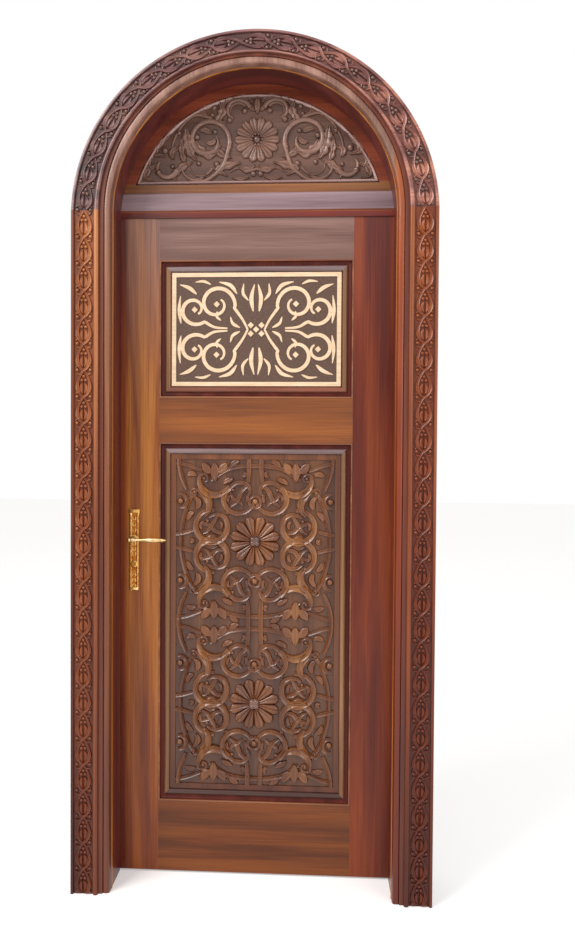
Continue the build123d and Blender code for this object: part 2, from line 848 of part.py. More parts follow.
with BuildPart() as plaque_scrollwork:
    with BuildSketch(facing(plaque_face_y, plaque_centre)):
        for x_share, z_share, radius_share, start, sweep, steps in scroll_table_shares:
            spot = (x_share * field_half_width, z_share * field_half_height)
            strap_arc(spot, radius_share * field_half_height, inlay_stroke, start, sweep, steps)
        for x_share, z_share, far_x_share, far_z_share, width_share in sprig_table_shares:
            begin = (x_share * field_half_width, z_share * field_half_height)
            end = (far_x_share * field_half_width, far_z_share * field_half_height)
            strap_line(begin, end, width_share * field_half_height, loop_shoulder_share)
        mirror(about=Plane.YZ)
        mirror(about=Plane.XZ)
        rosette(star_radius_share * field_half_height, star_petals, sharp_tip_shares)
    extrude(amount=inlay_height)
write(plaque_scrollwork, "plaque_scrollwork")

# Lock case, forend and bolts
with BuildPart() as lock_case:
    block(
        (case_front_x, leaf_mid_y - case_thickness / 2, lever_height - case_below),
        (case_end_x, leaf_mid_y + case_thickness / 2, lever_height + case_above),
    )
    cut_bolt_windows(
        case_front_x - overrun, case_front_x + dead_bolt_length + bolt_clearance, bolt_clearance
    )
    cut_lock_windows()
write(lock_case, "lock_case")

with BuildPart() as lock_forend:
    block(
        (leaf_edge, leaf_mid_y - forend_width / 2, strike_low),
        (case_front_x, leaf_mid_y + forend_width / 2, strike_high),
    )
    cut_bolt_windows(leaf_edge - overrun, case_front_x + overrun, bolt_clearance)
write(lock_forend, "lock_forend")

# The latch is bevelled on the side that meets the strike as the leaf closes
with BuildPart() as latch_bolt:
    with BuildSketch(Plane.XY.offset(latch_height_centre - latch_height / 2)):
        Polygon(
            (leaf_edge - latch_throw, leaf_mid_y + bolt_thickness / 2),
            (leaf_edge, leaf_mid_y - bolt_thickness / 2),
            (leaf_edge - latch_throw + latch_length, leaf_mid_y - bolt_thickness / 2),
            (leaf_edge - latch_throw + latch_length, leaf_mid_y + bolt_thickness / 2),
            align=None,
        )
    extrude(amount=latch_height)
write(latch_bolt, "latch_bolt")

with BuildPart() as dead_bolt:
    half_height = dead_bolt_height / 2
    block(
        (leaf_edge + bolt_clearance, leaf_mid_y - bolt_thickness / 2, dead_bolt_centre - half_height),
        (leaf_edge + dead_bolt_length, leaf_mid_y + bolt_thickness / 2, dead_bolt_centre + half_height),
    )
write(dead_bolt, "dead_bolt")

with BuildPart() as key_cylinder:
    with BuildSketch(facing(leaf_back_y + plate_thickness + key_proud, key_height, spindle_x)):
        RegularPolygon(key_radius, key_sides)
    extrude(amount=leaf_thickness + 2 * (plate_thickness + key_proud))
write(key_cylinder, "key_cylinder")


# A long backplate with a flared cap at its head, on a leaf face; outward is -1 to the viewer
def backplate(face_y, outward):
    top = lever_height + plate_above
    low = top - plate_length
    plane = Plane(origin=(spindle_x, face_y, 0), x_dir=(-outward, 0, 0), z_dir=(0, outward, 0))
    half_plate = plate_width / 2
    half_cap = plate_cap_width / 2
    cap_low = top - plate_cap_height
    with BuildSketch(plane) as outline:
        Polygon(
            (-half_plate, low),
            (half_plate, low),
            (half_plate, cap_low - plate_cap_flare),
            (half_cap, cap_low),
            (half_cap, top),
            (-half_cap, top),
            (-half_cap, cap_low),
            (-half_plate, cap_low - plate_cap_flare),
            align=None,
        )
    extrude(outline.sketch, amount=plate_thickness)
    chamfer(faces().sort_by(Axis.Y)[0 if outward < 0 else -1].edges(), length=plate_chamfer)
    with BuildSketch(facing(face_y)) as holes:
        with Locations((spindle_x, lever_height)):
            RegularPolygon(neck_radius + hand_clearance, key_sides, major_radius=False)
        with Locations((spindle_x, key_height)):
            RegularPolygon(key_radius + hand_clearance, key_sides)
    extrude(holes.sketch, amount=-outward * plate_thickness, mode=Mode.SUBTRACT)


with BuildPart() as front_backplate:
    backplate(leaf_front_y, -1)
write(front_backplate, "front_backplate")

with BuildPart() as back_backplate:
    backplate(leaf_back_y, 1)
write(back_backplate, "back_backplate")

# Levers: a slender eight-sided baluster on a neck, where four flat profiles cross.
# Shares are of its length and of its belly radius
lever_profile_shares = (
    (0.0, 0.5),
    (0.06, 0.85),
    (0.16, 0.62),
    (0.34, 0.55),
    (0.66, 1.0),
    (0.92, 0.7),
    (1.0, 0.25),
)
lever_crossings = 4
neck_sides = 8
lever_span = lever_length + lever_tail


def lever(face_y, outward):
    axis_y = face_y + outward * lever_standoff
    start_x = spindle_x - lever_tail
    upper = [(lever_span * along, lever_belly * around) for along, around in lever_profile_shares]
    lower = [(along, -around) for along, around in reversed(upper)]
    for crossing in range(lever_crossings):
        turn = 180 * crossing / lever_crossings
        side_dir = (0, cos(radians(turn)), sin(radians(turn)))
        side_plane = Plane(origin=(start_x, axis_y, lever_height), x_dir=(1, 0, 0), z_dir=side_dir)
        with BuildSketch(side_plane) as profile:
            Polygon(*upper, *lower, align=None)
        extrude(profile.sketch, amount=lever_belly, both=True, mode=Mode.INTERSECT if crossing else Mode.ADD)
    with BuildSketch(facing(face_y, lever_height, spindle_x)) as neck:
        RegularPolygon(neck_radius, neck_sides)
    extrude(neck.sketch, amount=-outward * lever_standoff)
    with BuildSketch(facing(face_y, lever_height, spindle_x)) as socket:
        Rectangle(spindle_width + 2 * seat_gap, spindle_width + 2 * seat_gap)
    extrude(socket.sketch, amount=-outward * (spindle_insert + seat_gap), mode=Mode.SUBTRACT)


with BuildPart() as front_lever:
    lever(leaf_front_y, -1)
write(front_lever, "front_lever")

with BuildPart() as back_lever:
    lever(leaf_back_y, 1)
write(back_lever, "back_lever")

with BuildPart() as spindle:
    with BuildSketch(facing(leaf_back_y + spindle_insert, lever_height, spindle_x)):
        Rectangle(spindle_width, spindle_width)
    extrude(amount=leaf_thickness + 2 * spindle_insert)
write(spindle, "spindle")
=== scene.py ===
import math

import bmesh
import bpy
import numpy as np
from mathutils import Matrix, Vector


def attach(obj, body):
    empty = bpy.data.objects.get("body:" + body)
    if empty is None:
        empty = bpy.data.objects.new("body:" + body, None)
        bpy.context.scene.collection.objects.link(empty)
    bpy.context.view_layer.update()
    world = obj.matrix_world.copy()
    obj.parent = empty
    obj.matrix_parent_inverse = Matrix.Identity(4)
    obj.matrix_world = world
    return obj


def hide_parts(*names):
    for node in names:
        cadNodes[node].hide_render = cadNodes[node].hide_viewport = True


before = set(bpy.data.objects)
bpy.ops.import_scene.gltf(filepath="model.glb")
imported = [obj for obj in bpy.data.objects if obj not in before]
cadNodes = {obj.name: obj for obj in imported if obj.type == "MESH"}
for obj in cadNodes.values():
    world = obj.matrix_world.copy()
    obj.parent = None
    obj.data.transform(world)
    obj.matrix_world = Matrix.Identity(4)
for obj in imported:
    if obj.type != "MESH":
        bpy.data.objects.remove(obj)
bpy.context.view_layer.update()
scene = bpy.context.scene
mm = 0.001
print("frame loaded,", len(cadNodes), "nodes")

# Places shared by several pieces, in millimetres, as the solids have them
door = {
    "springHeight": 2180.0,
    "leafFront": 30.25,
    "leafBack": 75.25,
    "panelFront": 46.25,
    "panelBack": 63.25,
    "openingHalf": 322.0,
    "openings": {"upper": (1600.0, 2057.0), "lower": (243.5, 1451.0)},
    "panelLap": 10.0,
    "casingFront": -129.75,
    "casingBack": -87.75,
    "bandFace": -120.75,
    "lunetteFace": 41.25,
    "plaqueFace": 42.25,
}


# sRGB hex to linear colour
def toLinear(hexCode):
    parts = [int(hexCode[i:i + 2], 16) / 255 for i in (1, 3, 5)]
    return tuple(c / 12.92 if c <= 0.04045 else ((c + 0.055) / 1.055) ** 2.4 for c in parts) + (1.0,)


# One node with its settings, socket values, links and, on a ramp, its colour stops
def addNode(tree, kind, settings=None, values=None, links=None, stops=None):
    node = tree.nodes.new(kind)
    for key, value in (settings or {}).items():
        setattr(node, key, value)
    for key, value in (values or {}).items():
        node.inputs[key].default_value = value
    for key, source in (links or {}).items():
        tree.links.new(source, node.inputs[key])
    if stops:
        ramp = node.color_ramp
        while len(ramp.elements) < len(stops):
            ramp.elements.new(0.5)
        for element, (place, hexCode) in zip(ramp.elements, stops):
            element.position = place
            element.color = toLinear(hexCode)
    return node


def newMaterial(name):
    material = bpy.data.materials.new(name)
    material.use_nodes = True
    material.node_tree.nodes.clear()
    return material, material.node_tree


# A colour ramp on one value
def ramp(tree, source, stops):
    return addNode(tree, "ShaderNodeValToRGB", links={0: source}, stops=stops).outputs[0]


# Object space divided by a size along each axis, in millimetres
def stretched(tree, place, sizes, offset=(0, 0, 0)):
    values = {"Location": offset, "Scale": [1000 / size for size in sizes]}
    return addNode(tree, "ShaderNodeMapping", values=values, links={"Vector": place}).outputs[0]


def noise(tree, place, values):
    return addNode(tree, "ShaderNodeTexNoise", values=values, links={"Vector": place}).outputs[0]


# Roughness that follows a noise between two values
def roughened(tree, source, low, high):
    values = {1: 0.3, 2: 0.7, 3: low, 4: high}
    return addNode(tree, "ShaderNodeMapRange", values=values, links={0: source}).outputs[0]


def bumped(tree, source, strength, distance):
    values = {"Strength": strength, "Distance": distance}
    return addNode(tree, "ShaderNodeBump", values=values, links={"Height": source}).outputs[0]


# The shader and the output of a material
def surfaced(tree, values, links):
    shader = addNode(tree, "ShaderNodeBsdfPrincipled", values=values, links=links)
    addNode(tree, "ShaderNodeOutputMaterial", links={"Surface": shader.outputs[0]})


# Tints a colour by a ramp of stops between two places along one axis, in millimetres
def tinted(tree, axes, colour, tint):
    share = addNode(
        tree, "ShaderNodeMapRange", values={1: tint["low"] * mm, 2: tint["high"] * mm, 3: 0.0, 4: 1.0},
        links={0: axes.outputs["XYZ".index(tint.get("along", "Z"))]},
    )
    tone = ramp(tree, share.outputs[0], tint["stops"])
    blend = {"data_type": "RGBA", "blend_type": tint.get("blend", "MULTIPLY")}
    return addNode(tree, "ShaderNodeMix", blend, {0: 1.0}, {6: colour, 7: tone}).outputs[2]


# Varnished hardwood: planed, sanded, stained red-brown and sprayed with gloss varnish.
# The eye sees long streaks of grain under a clear, softly mirroring coat.
timberLook = {
    "figureWidth": 42.0,   # broad light and dark bands across the grain
    "figureLength": 900.0,
    "streakWidth": 4.5,    # pores are nearer 0.3 mm; drawn coarser so that they show
    "streakLength": 220.0,
    "ringSpacing": 55.0,
    "figureShare": 0.58,
    "streakShare": 0.34,
    "ringShare": 0.14,
    "roughness": 0.36,
    "coat": 0.16,
    "coatRoughness": 0.12,
    "bump": 0.1,
}


def varnishedTimber(name, dark, middle, light, grain, offset=(0, 0, 0), tints=(), coat=None, shine=0.4):
    look = timberLook
    material, tree = newMaterial(name)
    place = addNode(tree, "ShaderNodeTexCoord").outputs["Object"]
    maps = []
    for label in ("figure", "streak"):
        sizes = [look[label + "Width"]] * 3
        sizes["XYZ".index(grain)] = look[label + "Length"]
        maps.append(stretched(tree, place, sizes, offset))
    figure = noise(tree, maps[0], {"Scale": 1.0, "Detail": 3.0, "Roughness": 0.55, "Distortion": 0.7})
    streak = noise(tree, maps[1], {"Scale": 1.0, "Detail": 2.0, "Roughness": 0.6})
    ringScale = look["figureWidth"] / look["ringSpacing"] / 3
    rings = addNode(
        tree, "ShaderNodeTexWave", {"wave_type": "BANDS", "bands_direction": "DIAGONAL"},
        {"Scale": ringScale, "Distortion": 5.0, "Detail": 2.0, "Detail Scale": 0.6}, {"Vector": maps[0]},
    )
    blended = addNode(
        tree, "ShaderNodeMath", {"operation": "MULTIPLY"}, {1: look["streakShare"]}, {0: streak},
    )
    for source, share in ((figure, look["figureShare"]), (rings.outputs[1], look["ringShare"])):
        blended = addNode(
            tree, "ShaderNodeMath", {"operation": "MULTIPLY_ADD"},
            {1: share}, {0: source, 2: blended.outputs[0]},
        )
    colour = ramp(tree, blended.outputs[0], [(0.39, dark), (0.53, middle), (0.68, light)])
    axes = addNode(tree, "ShaderNodeSeparateXYZ", links={0: place})
    for tint in tints:
        colour = tinted(tree, axes, colour, tint)
    rough = roughened(tree, streak, look["roughness"] - 0.06, look["roughness"] + 0.08)
    relief = bumped(tree, streak, look["bump"], 0.0006)
    surfaced(
        tree,
        {
            "IOR": 1.5, "Specular IOR Level": shine, "Coat Weight": coat or look["coat"],
            "Coat Roughness": look["coatRoughness"], "Coat IOR": 1.5,
        },
        {"Base Color": colour, "Roughness": rough, "Normal": relief},
    )
    return material


# Cast brass, polished and lacquered: bright gold on the high parts, brown in the hollows
def castBrass(name, dark, middle, light, roughness, rub=None):
    cloudSize = 14.0
    material, tree = newMaterial(name)
    place = addNode(tree, "ShaderNodeTexCoord").outputs["Object"]
    cloud = noise(tree, place, {"Scale": 1000 / cloudSize, "Detail": 3.0})
    colour = ramp(tree, cloud, [(0.3, dark), (0.55, middle), (0.75, light)])
    if rub:
        axes = addNode(tree, "ShaderNodeSeparateXYZ", links={0: place})
        colour = tinted(tree, axes, colour, rub)
    rough = roughened(tree, cloud, roughness - 0.06, roughness + 0.06)
    surfaced(tree, {"Metallic": 1.0}, {"Base Color": colour, "Roughness": rough})
    return material


# Satin nickel-plated steel, brushed along Z: fine upright lines in a soft grey
def brushedSteel(name):
    lineWidth, lineLength = 0.8, 30.0
    material, tree = newMaterial(name)
    place = addNode(tree, "ShaderNodeTexCoord").outputs["Object"]
    sizes = (lineWidth, lineWidth, lineLength)
    brushing = noise(tree, stretched(tree, place, sizes), {"Scale": 1.0, "Detail": 2.0})
    tone = ramp(tree, brushing, [(0.3, "#9a9892"), (0.7, "#c2c0ba")])
    rough = roughened(tree, brushing, 0.28, 0.42)
    surfaced(tree, {"Metallic": 1.0}, {"Base Color": tone, "Roughness": rough})
    return material


# Sawn veneer: pale maple cut-outs, or a dark stained ground with short flecks
def flatVeneer(name, dark, light, roughness, fleck):
    material, tree = newMaterial(name)
    place = addNode(tree, "ShaderNodeTexCoord").outputs["Object"]
    grain = noise(tree, stretched(tree, place, fleck), {"Scale": 1.0, "Detail": 3.0})
    tone = ramp(tree, grain, [(0.32, dark), (0.68, light)])
    relief = bumped(tree, grain, 0.1, 0.0004)
    surfaced(tree, {"IOR": 1.5, "Roughness": roughness}, {"Base Color": tone, "Normal": relief})
    return material


# Darker on the carved ground and the low sides of the raised work, lighter on its tops: partly stain gathered
# there, partly painted shade in the hollows
def hollowStainAndShade(ground, rise, deep, middle):
    groundBand = 1.6
    share = groundBand / (groundBand + rise)
    return {
        "low": ground + groundBand, "high": ground - rise, "along": "Y",
        "stops": [
            (0.0, "#d6c8c0"), (share - 0.05, "#d6c8c0"), (share + 0.03, deep),
            (0.56, middle), (0.94, "#ffffff"),
        ],
    }


# Brown lacquer in the hollows of a plate, bright metal on its rims
def plateRub(ground, rim):
    return {
        "low": ground, "high": rim, "along": "Y",
        "stops": [(0.0, "#c89868"), (0.5, "#e4c49c"), (0.9, "#ffffff")],
    }


# On the timbers below, tints change the colour towards one end or side of a piece


stileTimber = varnishedTimber(
    "varnishedStileTimber", "#763612", "#96531c", "#b5702c", "Z", shine=0.3,
    tints=[
        # painted sky reflection: paler and bluer towards the top of the stile
        {
            "low": 1500, "high": 2180, "blend": "SCREEN",
            "stops": [(0.0, "#000000"), (0.35, "#0c1c20"), (1.0, "#1c4a54")],
        },
        {"low": 150, "high": 1100, "stops": [(0.0, "#d4b4ac"), (1.0, "#ffffff")]},
        # painted shadow and reflection of the jamb: darker red along the stile's outer edge
        {
            "low": -461, "high": -400, "along": "X",
            "stops": [(0.0, "#b4807a"), (0.34, "#bc8c84"), (0.62, "#ffffff")],
        },
    ],
)
hingeStileTimber = varnishedTimber(
    "varnishedHingeStileTimber", "#591b0a", "#6f280f", "#853915", "Z", (3.1, 0.7, 0.2), shine=0.26,
    # painted sky reflection: paler and bluer towards the top of the stile
    tints=[{"low": 1700, "high": 2180, "blend": "SCREEN", "stops": [(0.0, "#000000"), (1.0, "#141c20")]}],
)
lockRailTimber = varnishedTimber(
    "varnishedLockRailTimber", "#66320c", "#7c4010", "#925018", "X", (0.4, 1.3, 2.2),
)
# grey-pink colour paints the sky's reflection on the top rail
topRailTimber = varnishedTimber(
    "varnishedTopRailTimber", "#65463d", "#77564d", "#8a685f", "X", (1.4, 0.3, 1.2),
)
bottomRailTimber = varnishedTimber(
    "varnishedBottomRailTimber", "#55280c", "#6a3410", "#7e4216", "X", (2.4, 2.3, 0.2), shine=0.26,
)
# The moulding's wood in copies by depth: the cove darkest as painted shade in its hollow, the raised lip and
# roll lighter as painted light
coveTimber = varnishedTimber(
    "varnishedCoveTimber", "#44170f", "#521d14", "#60261a", "Z", (1.9, 0.1, 0.6), coat=0.02, shine=0.15,
)
lipTimber = varnishedTimber("varnishedLipTimber", "#6a3c26", "#7f4d31", "#95603f", "X", (0.9, 1.1, 0.2))
rollTimber = varnishedTimber("varnishedRollTimber", "#6c4529", "#815837", "#966d48", "Z", (1.1, 0.8, 0.3))
# grey-pink colour paints the sky's reflection on the level lengths of the roll; the height tint turns it
# browner low down and orange near the upper opening's bottom
rollRailTimber = varnishedTimber(
    "varnishedRollRailTimber", "#6c5654", "#837070", "#9a8686", "X", (0.1, 1.8, 0.7),
    tints=[{
        "low": 240, "high": 2060,
        "stops": [
            (0.0, "#98705f"), (0.3, "#98705f"), (0.5, "#f4ecea"), (0.7, "#f4ecea"),
            (0.73, "#f6a87c"), (0.8, "#f6a87c"), (0.9, "#ffffff"),
        ],
    }],
)
flatTimber = varnishedTimber(
    "varnishedFlatTimber", "#522a14", "#66371b", "#794424", "Z", (0.7, 0.4, 1.9),
    tints=[{"low": 280, "high": 700, "stops": [(0.0, "#d4bcb0"), (1.0, "#ffffff")]}],
)
revealTimber = varnishedTimber("varnishedRevealTimber", "#4c1a12", "#5f241a", "#733222", "Z", (0.9, 2.2, 0.4))
archRevealTimber = varnishedTimber(
    "varnishedArchRevealTimber", "#4c1e1b", "#5e2622", "#72302a", "X", (0.3, 1.9, 0.5),
)
lunetteFrameTimber = varnishedTimber(
    "varnishedLunetteFrameTimber", "#683c1c", "#7c4a26", "#905c34", "X", (0.3, 1.1, 0.2),
    tints=[{
        "low": 2275, "high": 2375,
        "stops": [(0.0, "#ffffff"), (0.3, "#ffffff"), (0.37, "#f0b0b8"), (1.0, "#f0b0b8")],
    }],
)
# pinkish-grey colour paints the sky's reflection on the nose, strongest at the arch; the tints turn it back to
# orange wood down the legs, slightly darker on the arch's right side and fully orange on the right leg
noseTimber = varnishedTimber(
    "varnishedNoseTimber", "#7e5a4d", "#946f61", "#aa8475", "Z", (2.3, 1.2, 0.1),
    tints=[
        {
            "low": 300, "high": 2350,
            "stops": [(0.0, "#a87048"), (0.5, "#ca9460"), (0.85, "#e2c4a0"), (1.0, "#f8f2f0")],
        },
        {
            "low": 150, "high": 452, "along": "X",
            "stops": [(0.0, "#ffffff"), (0.8, "#dedcd6"), (0.93, "#dedcd6"), (1.0, "#ffb468")],
        },
    ],
)
# darker than the casing: painted shade in the sunk groove
grooveTimber = varnishedTimber(
    "varnishedGrooveTimber", "#4e1f12", "#602a18", "#733720", "Z", (1.7, 0.4, 1.3), coat=0.05,
)
# pale grey-mauve colour paints the sky's reflection on the bead
beadTimber = varnishedTimber("varnishedBeadTimber", "#90706a", "#a68680", "#ba9a92", "X", (0.5, 0.9, 1.7))
edgeTimber = varnishedTimber("varnishedEdgeTimber", "#8c4c16", "#a4601e", "#bc782c", "Z", (1.3, 0.2, 0.6))
casingTimber = varnishedTimber(
    "carvedCasingTimber", "#8a532d", "#a3663c", "#bb8052", "Z", (0.2, 0.5, 0.8), coat=0.1, shine=0.3,
    tints=[
        hollowStainAndShade(door["bandFace"], 7.65, "#b49286", "#dcc4b4"),
        {"low": 200, "high": 2100, "stops": [(0.0, "#a47c70"), (0.5, "#d4b6aa"), (1.0, "#fcf4f0")]},
        {
            "low": 0, "high": 540, "along": "X",
            "stops": [(0.0, "#ffffff"), (0.9, "#e6d4c8"), (0.935, "#e4cabc"), (1.0, "#e4cabc")],
        },
        {
            "low": -575, "high": -555, "along": "X",
            "stops": [(0.0, "#b49484"), (0.42, "#b49484"), (0.52, "#ffffff")],
        },
    ],
)
archTimber = varnishedTimber(
    "carvedArchTimber", "#70443c", "#985f58", "#bf816c", "X", (1.4, 0.5, 0.9),
    tints=[
        hollowStainAndShade(door["bandFace"], 7.65, "#94807c", "#d0c0bc"),
        {
            "low": -560, "high": 560, "along": "X",
            "stops": [(0.0, "#b5c8d3"), (0.5, "#deefff"), (1.0, "#fffff3")],
        },
    ],
)
panelTimber = varnishedTimber(
    "carvedPanelTimber", "#663818", "#7e4b23", "#986434", "Z", (0.6, 1.5, 1.8), coat=0.34,
    tints=[
        hollowStainAndShade(door["panelFront"], 10.45, "#92807a", "#cdb4a2"),
        {"low": 420, "high": 1150, "stops": [(0.0, "#e4dcd6"), (1.0, "#ffffff")]},
    ],
)
plainPanelTimber = varnishedTimber(
    "varnishedPanelTimber", "#5c3418", "#704422", "#85562e", "Z", (0.2, 0.3, 1.4),
)
lunetteTimber = varnishedTimber(
    "carvedLunetteTimber", "#6c4e42", "#805e50", "#947062", "X", (2.6, 0.5, 0.8), coat=0.24,
    tints=[hollowStainAndShade(door["lunetteFace"], 9.85, "#a4948c", "#d6c6ba")],
)
# grey-purple colour paints the sky's reflection on the transom's face; the height tint turns its lower band red
# with an orange line
transomTimber = varnishedTimber(
    "varnishedTransomTimber", "#725a5e", "#846b6f", "#967d82", "X", (0.8, 0.2, 1.1),
    tints=[{
        "low": 2195, "high": 2275,
        "stops": [
            (0.0, "#b84a30"), (0.2, "#cc5636"), (0.235, "#ffa458"), (0.275, "#ffb478"), (0.3, "#ffffff"),
            (1.0, "#ffffff"),
        ],
    }],
)
# berries and bosses are darker, as painted shade of the drilled hollows round them, and take a bright point of
# light from the glossy coat
berryShadeTimber = varnishedTimber(
    "berryPaintedShadeTimber", "#4c3026", "#5e3c30", "#724c3e", "X", (0.9, 0.6, 0.4), coat=0.6,
)
gilt = flatVeneer("paleMapleCutOut", "#d8b692", "#e3caaa", 0.5, (60.0, 8.0, 8.0))
plaqueGround = flatVeneer("darkStainedGround", "#462e22", "#5e4333", 0.55, (9.0, 3.0, 3.0))
leverBrass = castBrass("polishedLeverBrass", "#c49c62", "#dfc08c", "#f0dcb4", 0.38)
keyBrass = castBrass("turnedKeyBrass", "#9c6a2c", "#b8823c", "#cc9a54", 0.34)
frontPlateBrass = castBrass(
    "castFrontPlateBrass", "#c08238", "#e4b468", "#fae0a8", 0.28, plateRub(26.6, 24.2),
)
backPlateBrass = castBrass("castBackPlateBrass", "#c08238", "#e4b468", "#fae0a8", 0.28, plateRub(78.9, 81.3))
hingeSteel = brushedSteel("brushedHingeSteel")
print("materials ready")


# CAD nodes that keep their own shape
def dress(names, material):
    for name in names:
        for slot in cadNodes[name].material_slots:
            slot.material = material


dress(["lock_stile"], stileTimber)
dress(["hinge_stile"], hingeStileTimber)
dress(["top_rail"], topRailTimber)
dress(["lock_rail"], lockRailTimber)
dress(["bottom_rail"], bottomRailTimber)
dress(["upper_panel"], plainPanelTimber)
dress(["right_jamb", "left_jamb"], revealTimber)
dress(["arch_jamb"], archRevealTimber)
dress(["lunette_frame"], lunetteFrameTimber)
dress(["transom_bar"], transomTimber)
dress(["plaque_border"], gilt)
dress(["plaque_ground"], plaqueGround)
dress(["key_cylinder"], keyBrass)
dress(["spindle"], leverBrass)
dress(
    [
        "hinge_frame_halves", "hinge_door_halves", "strike_plate", "lock_case", "lock_forend",
        "latch_bolt", "dead_bolt",
    ],
    hingeSteel,
)


# Mesh code: a bag of vertices and faces, filled by lofts between rings
def newBag():
    return {"verts": [], "faces": []}


def loft(bag, rings):
    start, count = len(bag["verts"]), len(rings[0])
    for ring in rings:
        bag["verts"].extend(tuple(point) for point in ring)
    top = start + (len(rings) - 1) * count
    for low in range(start, top, count):
        for i in range(count):
            j = (i + 1) % count
            bag["faces"].append((low + i, low + j, low + count + j, low + count + i))
    bag["faces"].append(tuple(range(start, start + count)))
    bag["faces"].append(tuple(range(top + count - 1, top - 1, -1)))


def bagMesh(name, bag):
    mesh = bpy.data.meshes.new(name)
    mesh.from_pydata(bag["verts"], [], bag["faces"])
    return mesh


def lofted(name, rings):
    bag = newBag()
    loft(bag, rings)
    return bagMesh(name, bag)


# Local plan (u across, v up, h out towards the viewer) to the door, in metres
def facing(y, x=0.0, z=0.0):
    lift = Matrix.Rotation(math.pi / 2, 4, "X")
    return Matrix.Translation((x * mm, y * mm, z * mm)) @ lift @ Matrix.Scale(mm, 4)


def facingBack(y, x=0.0, z=0.0):
    return Matrix.Translation((x * mm, y * mm, z * mm)) @ Matrix.Rotation(math.pi, 4, "Z") @ facing(0)


plain = Matrix.Scale(mm, 4)


# Joins the meshes of one piece, turns their faces outwards, and hands it to its body
def makePiece(name, parts, body, nodes=(), sharp=40.0):
    whole = bmesh.new()
    finishes = []
    for mesh, place, material in parts:
        mesh.transform(place)
        if material not in finishes:
            finishes.append(material)
        mesh.materials.clear()
        mesh.polygons.foreach_set("material_index", [finishes.index(material)] * len(mesh.polygons))
        whole.from_mesh(mesh)
        bpy.data.meshes.remove(mesh)
    bmesh.ops.recalc_face_normals(whole, faces=whole.faces)
    joined = bpy.data.meshes.new(name)
    whole.to_mesh(joined)
    whole.free()
    for material in finishes:
        joined.materials.append(material)
    joined.polygons.foreach_set("use_smooth", [True] * len(joined.polygons))
    joined.set_sharp_from_angle(angle=math.radians(sharp))
    piece = bpy.data.objects.new(name, joined)
    scene.collection.objects.link(piece)
    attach(piece, body)
    if nodes:
        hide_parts(*nodes)


# Geometry Nodes trees
def newTree(name, sockets):
    tree = bpy.data.node_groups.new(name, "GeometryNodeTree")
    for side in ("INPUT", "OUTPUT"):
        tree.interface.new_socket("Geometry", in_out=side, socket_type="NodeSocketGeometry")
    for label, kind in sockets.items():
        tree.interface.new_socket(label, in_out="INPUT", socket_type="NodeSocket" + kind)
    return tree, addNode(tree, "NodeGroupInput")


def endTree(tree, entry, geometry):
    smooth = addNode(tree, "GeometryNodeSetShadeSmooth", links={"Geometry": geometry})
    real = addNode(tree, "GeometryNodeRealizeInstances", links={"Geometry": smooth.outputs[0]})
    finish = addNode(
        tree, "GeometryNodeSetMaterial",
        links={"Geometry": real.outputs[0], "Material": entry.outputs["Finish"]},
    )
    addNode(tree, "NodeGroupOutput", links={"Geometry": finish.outputs[0]})


# strapSweep draws one profile along every line of a curve, wider or narrower with the line's radius
strapTree, entry = newTree(
    "strapSweep", {"Profile": "Object", "Width": "Float", "Height": "Float", "Finish": "Material"},
)
outline = addNode(strapTree, "GeometryNodeObjectInfo", links={"Object": entry.outputs["Profile"]})
down = addNode(
    strapTree, "ShaderNodeMath", {"operation": "MULTIPLY"}, {1: -1.0}, {0: entry.outputs["Height"]},
)
span = addNode(
    strapTree, "ShaderNodeCombineXYZ", values={2: 1.0}, links={0: entry.outputs["Width"], 1: down.outputs[0]},
)
shaped = addNode(
    strapTree, "GeometryNodeTransform",
    links={"Geometry": outline.outputs["Geometry"], "Scale": span.outputs[0]},
)
thick = addNode(strapTree, "GeometryNodeInputRadius")
swept = addNode(
    strapTree, "GeometryNodeCurveToMesh", values={"Fill Caps": True},
    links={"Curve": entry.outputs["Geometry"], "Profile Curve": shaped.outputs[0], "Scale": thick.outputs[0]},
)
endTree(strapTree, entry, swept.outputs[0])

# dotRow sets one small shape on every vertex, at the size that the vertex carries
dotTree, entry = newTree("dotRow", {"Shape": "Object", "Size": "Float", "Finish": "Material"})
shape = addNode(dotTree, "GeometryNodeObjectInfo", links={"Object": entry.outputs["Shape"]})
own = addNode(dotTree, "GeometryNodeInputNamedAttribute", {"data_type": "FLOAT"}, {"Name": "size"})
grown = addNode(
    dotTree, "ShaderNodeMath", {"operation": "MULTIPLY"}, links={0: own.outputs[0], 1: entry.outputs["Size"]},
)
dots = addNode(
    dotTree, "GeometryNodeInstanceOnPoints",
    links={
        "Points": entry.outputs["Geometry"], "Instance": shape.outputs["Geometry"],
        "Scale": grown.outputs[0],
    },
)
endTree(dotTree, entry, dots.outputs[0])

# petalRing turns one petal round a centre, and sets the flower on every vertex
petalTree, entry = newTree("petalRing", {"Petal": "Object", "Count": "Int", "Finish": "Material"})
petal = addNode(petalTree, "GeometryNodeObjectInfo", links={"Object": entry.outputs["Petal"]})
spots = addNode(petalTree, "GeometryNodePoints", links={"Count": entry.outputs["Count"]})
order = addNode(petalTree, "GeometryNodeInputIndex")
pitch = addNode(
    petalTree, "ShaderNodeMath", {"operation": "DIVIDE"}, {0: 2 * math.pi}, {1: entry.outputs["Count"]},
)
turn = addNode(
    petalTree, "ShaderNodeMath", {"operation": "MULTIPLY"}, links={0: order.outputs[0], 1: pitch.outputs[0]},
)
spin = addNode(petalTree, "ShaderNodeCombineXYZ", links={2: turn.outputs[0]})
euler = addNode(petalTree, "FunctionNodeEulerToRotation", links={0: spin.outputs[0]})
flower = addNode(
    petalTree, "GeometryNodeInstanceOnPoints",
    links={"Points": spots.outputs[0], "Instance": petal.outputs["Geometry"], "Rotation": euler.outputs[0]},
)
